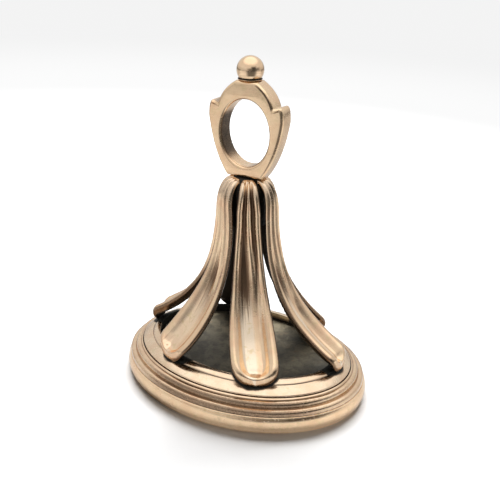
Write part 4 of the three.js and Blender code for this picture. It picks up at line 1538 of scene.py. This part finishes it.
def add_lamp(name, place, size, size_y, watts):
    """A wide soft lamp, aimed at the seal and not mirrored in its metal."""
    lamp = bpy.data.lights.new(name, "AREA")
    lamp.shape = "RECTANGLE"
    lamp.size = size
    lamp.size_y = size_y
    lamp.energy = watts
    obj = bpy.data.objects.new(name, lamp)
    obj.location = place
    way = LAMP_TARGET - Vector(place)
    obj.rotation_euler = way.to_track_quat("-Z", "Y").to_euler()
    obj.visible_glossy = False
    bpy.context.scene.collection.objects.link(obj)


class SealMakeStone(bpy.types.Operator):
    """Cuts the oval seal stone, with its bevelled polished face and its dull tapered back"""

    bl_idname = "fob_seal.make_stone"
    bl_label = "Make Stone"

    def execute(self, context):
        sizes = context.scene.seal_setting
        girdle = (STONE_GIRDLE, BEZEL_TOP)
        crown = (STONE_BACK, STONE_TOP)
        core = -0.999 * sizes.half_width
        flat = -4.0 * MM
        inner = -6.0 * MM
        profile = [(core, 0.0, 0.0), (inner, 0.0, 0.0)]
        face = (STONE_FACE, 0.0)
        bevel = (STONE_GIRDLE, STONE_BEVEL)
        profile += rounded(face, (flat, 0.0), bevel, 0.1 * MM)
        profile += rounded(bevel, face, girdle, 0.08 * MM)
        profile += rounded(girdle, bevel, crown, 0.08 * MM)
        profile += rounded(crown, girdle, (flat, STONE_TOP), 0.12 * MM)
        profile += [(inner, STONE_TOP, 0.0), (core, STONE_TOP, 0.0)]
        stone = sweep_oval("stone_body", profile, seal_stone_finish())
        dress(stone, "seal_stone")
        return {"FINISHED"}


class SealMakeSetting(bpy.types.Operator):
    """Sweeps the bezel, the reeded moulding and the banded top ring round the oval"""

    bl_idname = "fob_seal.make_setting"
    bl_label = "Make Setting"

    def execute(self, context):
        warm = (0.9, 0.91, 0.94)
        # The top ring's paler, yellower tint is a painted highlight for its washed-out shine
        pale = (0.91, 0.97, 1.05)
        pieces = (
            ("bezel_band", bezel_profile(), "bezel", (1.0, 1.0, 0.98), 0.16),
            ("reeded_moulding", moulding_profile(), "moulded_ring", warm, 0.11),
            ("banded_ring", ring_profile(), "top_ring", pale, 0.17),
        )
        for name, profile, node, tint, roughness in pieces:
            finish = gold("Gold of " + name, tint, roughness, "groove", True)
            dress(sweep_oval(name, profile, finish), node)
        return {"FINISHED"}


class SealMakePetals(bpy.types.Operator):
    """Lofts the six dished petals and seats them on the ring and round the post"""

    bl_idname = "fob_seal.make_petals"
    bl_label = "Make Petals"

    def execute(self, context):
        sizes = context.scene.seal_petals
        tree = petal_tree()
        finish = petal_gold()
        loop = petal_section()
        section = point_mesh(
            "petal_section", [place for place, _ in loop], {"depth_parts": [d for _, d in loop]}
        )
        for node, form, neck_angle, mirror_x, mirror_y in PETALS:
            rows = petal_stations(PETAL_FORMS[form], neck_angle, sizes)
            keys = ("way", "widths", "depths", "turns", "run", "drift")
            numbers = {key: [row[key] for row in rows] for key in keys}
            blade = point_mesh(node + "_blade", [row["place"] for row in rows], numbers)
            modifier = blade.modifiers.new("Dished petal", "NODES")
            modifier.node_group = tree
            set_inputs(modifier, {
                "Section": section,
                "Edge Depth": sizes.edge_depth,
                "Drift Hand": float(mirror_x * mirror_y),
                "Edge Soot And Shade": EDGE_SOOT_AND_SHADE.get(node, 0.0),
                "Channel Soot": CLEANER_PETALS.get(node, 1.0),
                "Slope Share": sizes.slope_share,
                "Ridge Share": sizes.ridge_share,
                "Mirror X": float(mirror_x),
                "Mirror Y": float(mirror_y),
                "Finish": finish,
            })
            baked(blade)
            seat_petal(blade.data)
            dress(blade, node)
        bpy.data.objects.remove(section)
        return {"FINISHED"}


class SealMakeNeck(bpy.types.Operator):
    """Turns the post that the petals' tips close round, dark with painted shade"""

    bl_idname = "fob_seal.make_neck"
    bl_label = "Make Neck"

    def execute(self, context):
        socket_foot = NECK_TOP - SOCKET_DEPTH
        profile = [(0.0, POST_FOOT), (POST_RADIUS, POST_FOOT)]
        heights = [lerp(POST_FOOT, NECK_TOP, i / 24) for i in range(1, 25)]
        profile += [(post_radius(height), height) for height in heights]
        profile += [(SOCKET_RADIUS, NECK_TOP), (SOCKET_RADIUS, socket_foot), (0.0, socket_foot)]
        dress(turned("post_stub", profile, shaded_neck_brass()), "neck_post")
        return {"FINISHED"}


class SealMakeBow(bpy.types.Operator):
    """Cuts the pierced bow with its softened edges, and its tenon into the post"""

    bl_idname = "fob_seal.make_bow"
    bl_label = "Make Bow"

    def execute(self, context):
        finish = gold("Bow gold", (0.96, 0.96, 0.94), 0.17, "groove")
        low = BOW_FOOT - SOCKET_DEPTH
        high = BOW_FOOT + TENON_OVERLAP
        profile = [(0.0, low), (TENON_RADIUS, low), (TENON_RADIUS, high), (0.0, high)]
        tenon = turned("bow_tenon", profile, finish, 48)
        plate = baked_bow(bow_plate(finish))
        joined = bmesh.new()
        joined.from_mesh(plate.data)
        joined.from_mesh(tenon.data)
        joined.to_mesh(plate.data)
        joined.free()
        bpy.data.objects.remove(tenon)
        dress(plate, "bow")
        return {"FINISHED"}


class SealMakeFinial(bpy.types.Operator):
    """Turns the thin collar and the ball with its peg"""

    bl_idname = "fob_seal.make_finial"
    bl_label = "Make Finial"

    def execute(self, context):
        sizes = context.scene.seal_bow
        finish = gold("Ball gold", (1.0, 1.0, 1.0), 0.1)
        flat = COLLAR_RADIUS - COLLAR_EDGE
        disc = [(COLLAR_HOLE, COLLAR_FOOT), (flat, COLLAR_FOOT)]
        disc += [(COLLAR_RADIUS, COLLAR_FOOT + COLLAR_EDGE)]
        disc += [(COLLAR_RADIUS, COLLAR_TOP - COLLAR_EDGE), (flat, COLLAR_TOP)]
        disc += [(COLLAR_HOLE, COLLAR_TOP), (COLLAR_HOLE, COLLAR_FOOT)]
        collar = turned("thin_collar", disc, gold("Collar gold", (1.0, 1.0, 1.0), 0.3, "groove"))
        half_way = lerp(COLLAR_FOOT, COLLAR_TOP, 0.5)
        depths = [1.0 if vertex.co.z > half_way else 0.2 for vertex in collar.data.vertices]
        collar.data.attributes.new("groove", "FLOAT", "POINT").data.foreach_set("value", depths)
        dress(collar, "finial_collar")
        centre = BALL_TOP - sizes.ball_radius
        seat = COLLAR_TOP + SOLDER_FILM
        start = math.asin((seat - centre) / sizes.ball_radius)
        profile = [(0.0, PEG_FOOT), (PEG_RADIUS, PEG_FOOT), (PEG_RADIUS, seat)]
        for i in range(40):
            turn = lerp(start, math.pi / 2, i / 40)
            radius = sizes.ball_radius * math.cos(turn)
            profile.append((radius, centre + sizes.ball_radius * math.sin(turn)))
        profile.append((0.0, BALL_TOP))
        dress(turned("ball_knop", profile, finish), "ball_finial")
        return {"FINISHED"}


class SealMakeStage(bpy.types.Operator):
    """Sets the floor, the world, the lamps and the camera"""

    bl_idname = "fob_seal.make_stage"
    bl_label = "Make Stage"

    def execute(self, context):
        stage = context.scene.seal_stage
        mesh = bpy.data.meshes.new("floor")
        signs = ((-1, -1), (1, -1), (1, 1), (-1, 1))
        corners = [(FLOOR_HALF * x, FLOOR_HALF * y, 0.0) for x, y in signs]
        mesh.from_pydata(corners, [], [(0, 1, 2, 3)])
        mesh.materials.append(floor_finish())
        floor = bpy.data.objects.new("floor", mesh)
        context.scene.collection.objects.link(floor)
        context.scene.world = sky()
        context.scene.view_settings.view_transform = "Standard"
        add_lamp(*TOP_LAMP, stage.top_power)
        add_lamp(*LEFT_LAMP, stage.side_power)
        add_lamp(*RIGHT_LAMP, stage.side_power)
        camera = bpy.data.cameras.new("camera")
        camera.lens = stage.lens
        camera.sensor_width = 36.0
        camera.clip_start = 0.001
        camera.clip_end = 20.0
        camera.shift_x = CAMERA_SHIFT
        eye = bpy.data.objects.new("camera", camera)
        turn = Matrix((CAMERA_RIGHT, CAMERA_UP, CAMERA_BACK)).transposed()
        turn = turn @ Matrix.Rotation(CAMERA_ROLL, 3, "Z")
        eye.matrix_world = Matrix.Translation(CAMERA_PLACE) @ turn.to_4x4()
        context.scene.collection.objects.link(eye)
        context.scene.camera = eye
        return {"FINISHED"}


class SealPanel(bpy.types.Panel):
    """Lists the seal's sizes, finishes and pieces"""

    bl_idname = "SEAL_PT_panel"
    bl_label = "Fob Seal"
    bl_space_type = "VIEW_3D"
    bl_region_type = "UI"
    bl_category = "Fob Seal"

    def draw(self, context):
        for name, label in GROUP_LABELS:
            box = self.layout.box()
            box.label(text=label)
            group = getattr(context.scene, name)
            for key in group.bl_rna.properties.keys():
                if key not in {"rna_type", "name"}:
                    box.prop(group, key)
        column = self.layout.column(align=True)
        for operator in OPERATORS:
            column.operator(operator.bl_idname)


GROUPS = (
    ("seal_setting", "Setting", SealSettingSizes),
    ("seal_petals", "Petals", SealPetalSizes),
    ("seal_bow", "Bow", SealBowSizes),
    ("seal_finish", "Finishes", SealFinishes),
    ("seal_stage", "Stage", SealStageSettings),
)
GROUP_LABELS = tuple((name, label) for name, label, _ in GROUPS)
OPERATORS = (
    SealMakeStone,
    SealMakeSetting,
    SealMakePetals,
    SealMakeNeck,
    SealMakeBow,
    SealMakeFinial,
    SealMakeStage,
)


def register():
    for name, _, group in GROUPS:
        bpy.utils.register_class(group)
        setattr(bpy.types.Scene, name, bpy.props.PointerProperty(type=group))
    for operator in OPERATORS:
        bpy.utils.register_class(operator)
    bpy.utils.register_class(SealPanel)


def unregister():
    bpy.utils.unregister_class(SealPanel)
    for operator in reversed(OPERATORS):
        bpy.utils.unregister_class(operator)
    for name, _, group in reversed(GROUPS):
        delattr(bpy.types.Scene, name)
        bpy.utils.unregister_class(group)


def main():
    register()
    bpy.ops.fob_seal.make_stone()
    bpy.ops.fob_seal.make_setting()
    bpy.ops.fob_seal.make_petals()
    bpy.ops.fob_seal.make_neck()
    bpy.ops.fob_seal.make_bow()
    bpy.ops.fob_seal.make_finial()
    bpy.ops.fob_seal.make_stage()


if __name__ == "__main__":
    main()
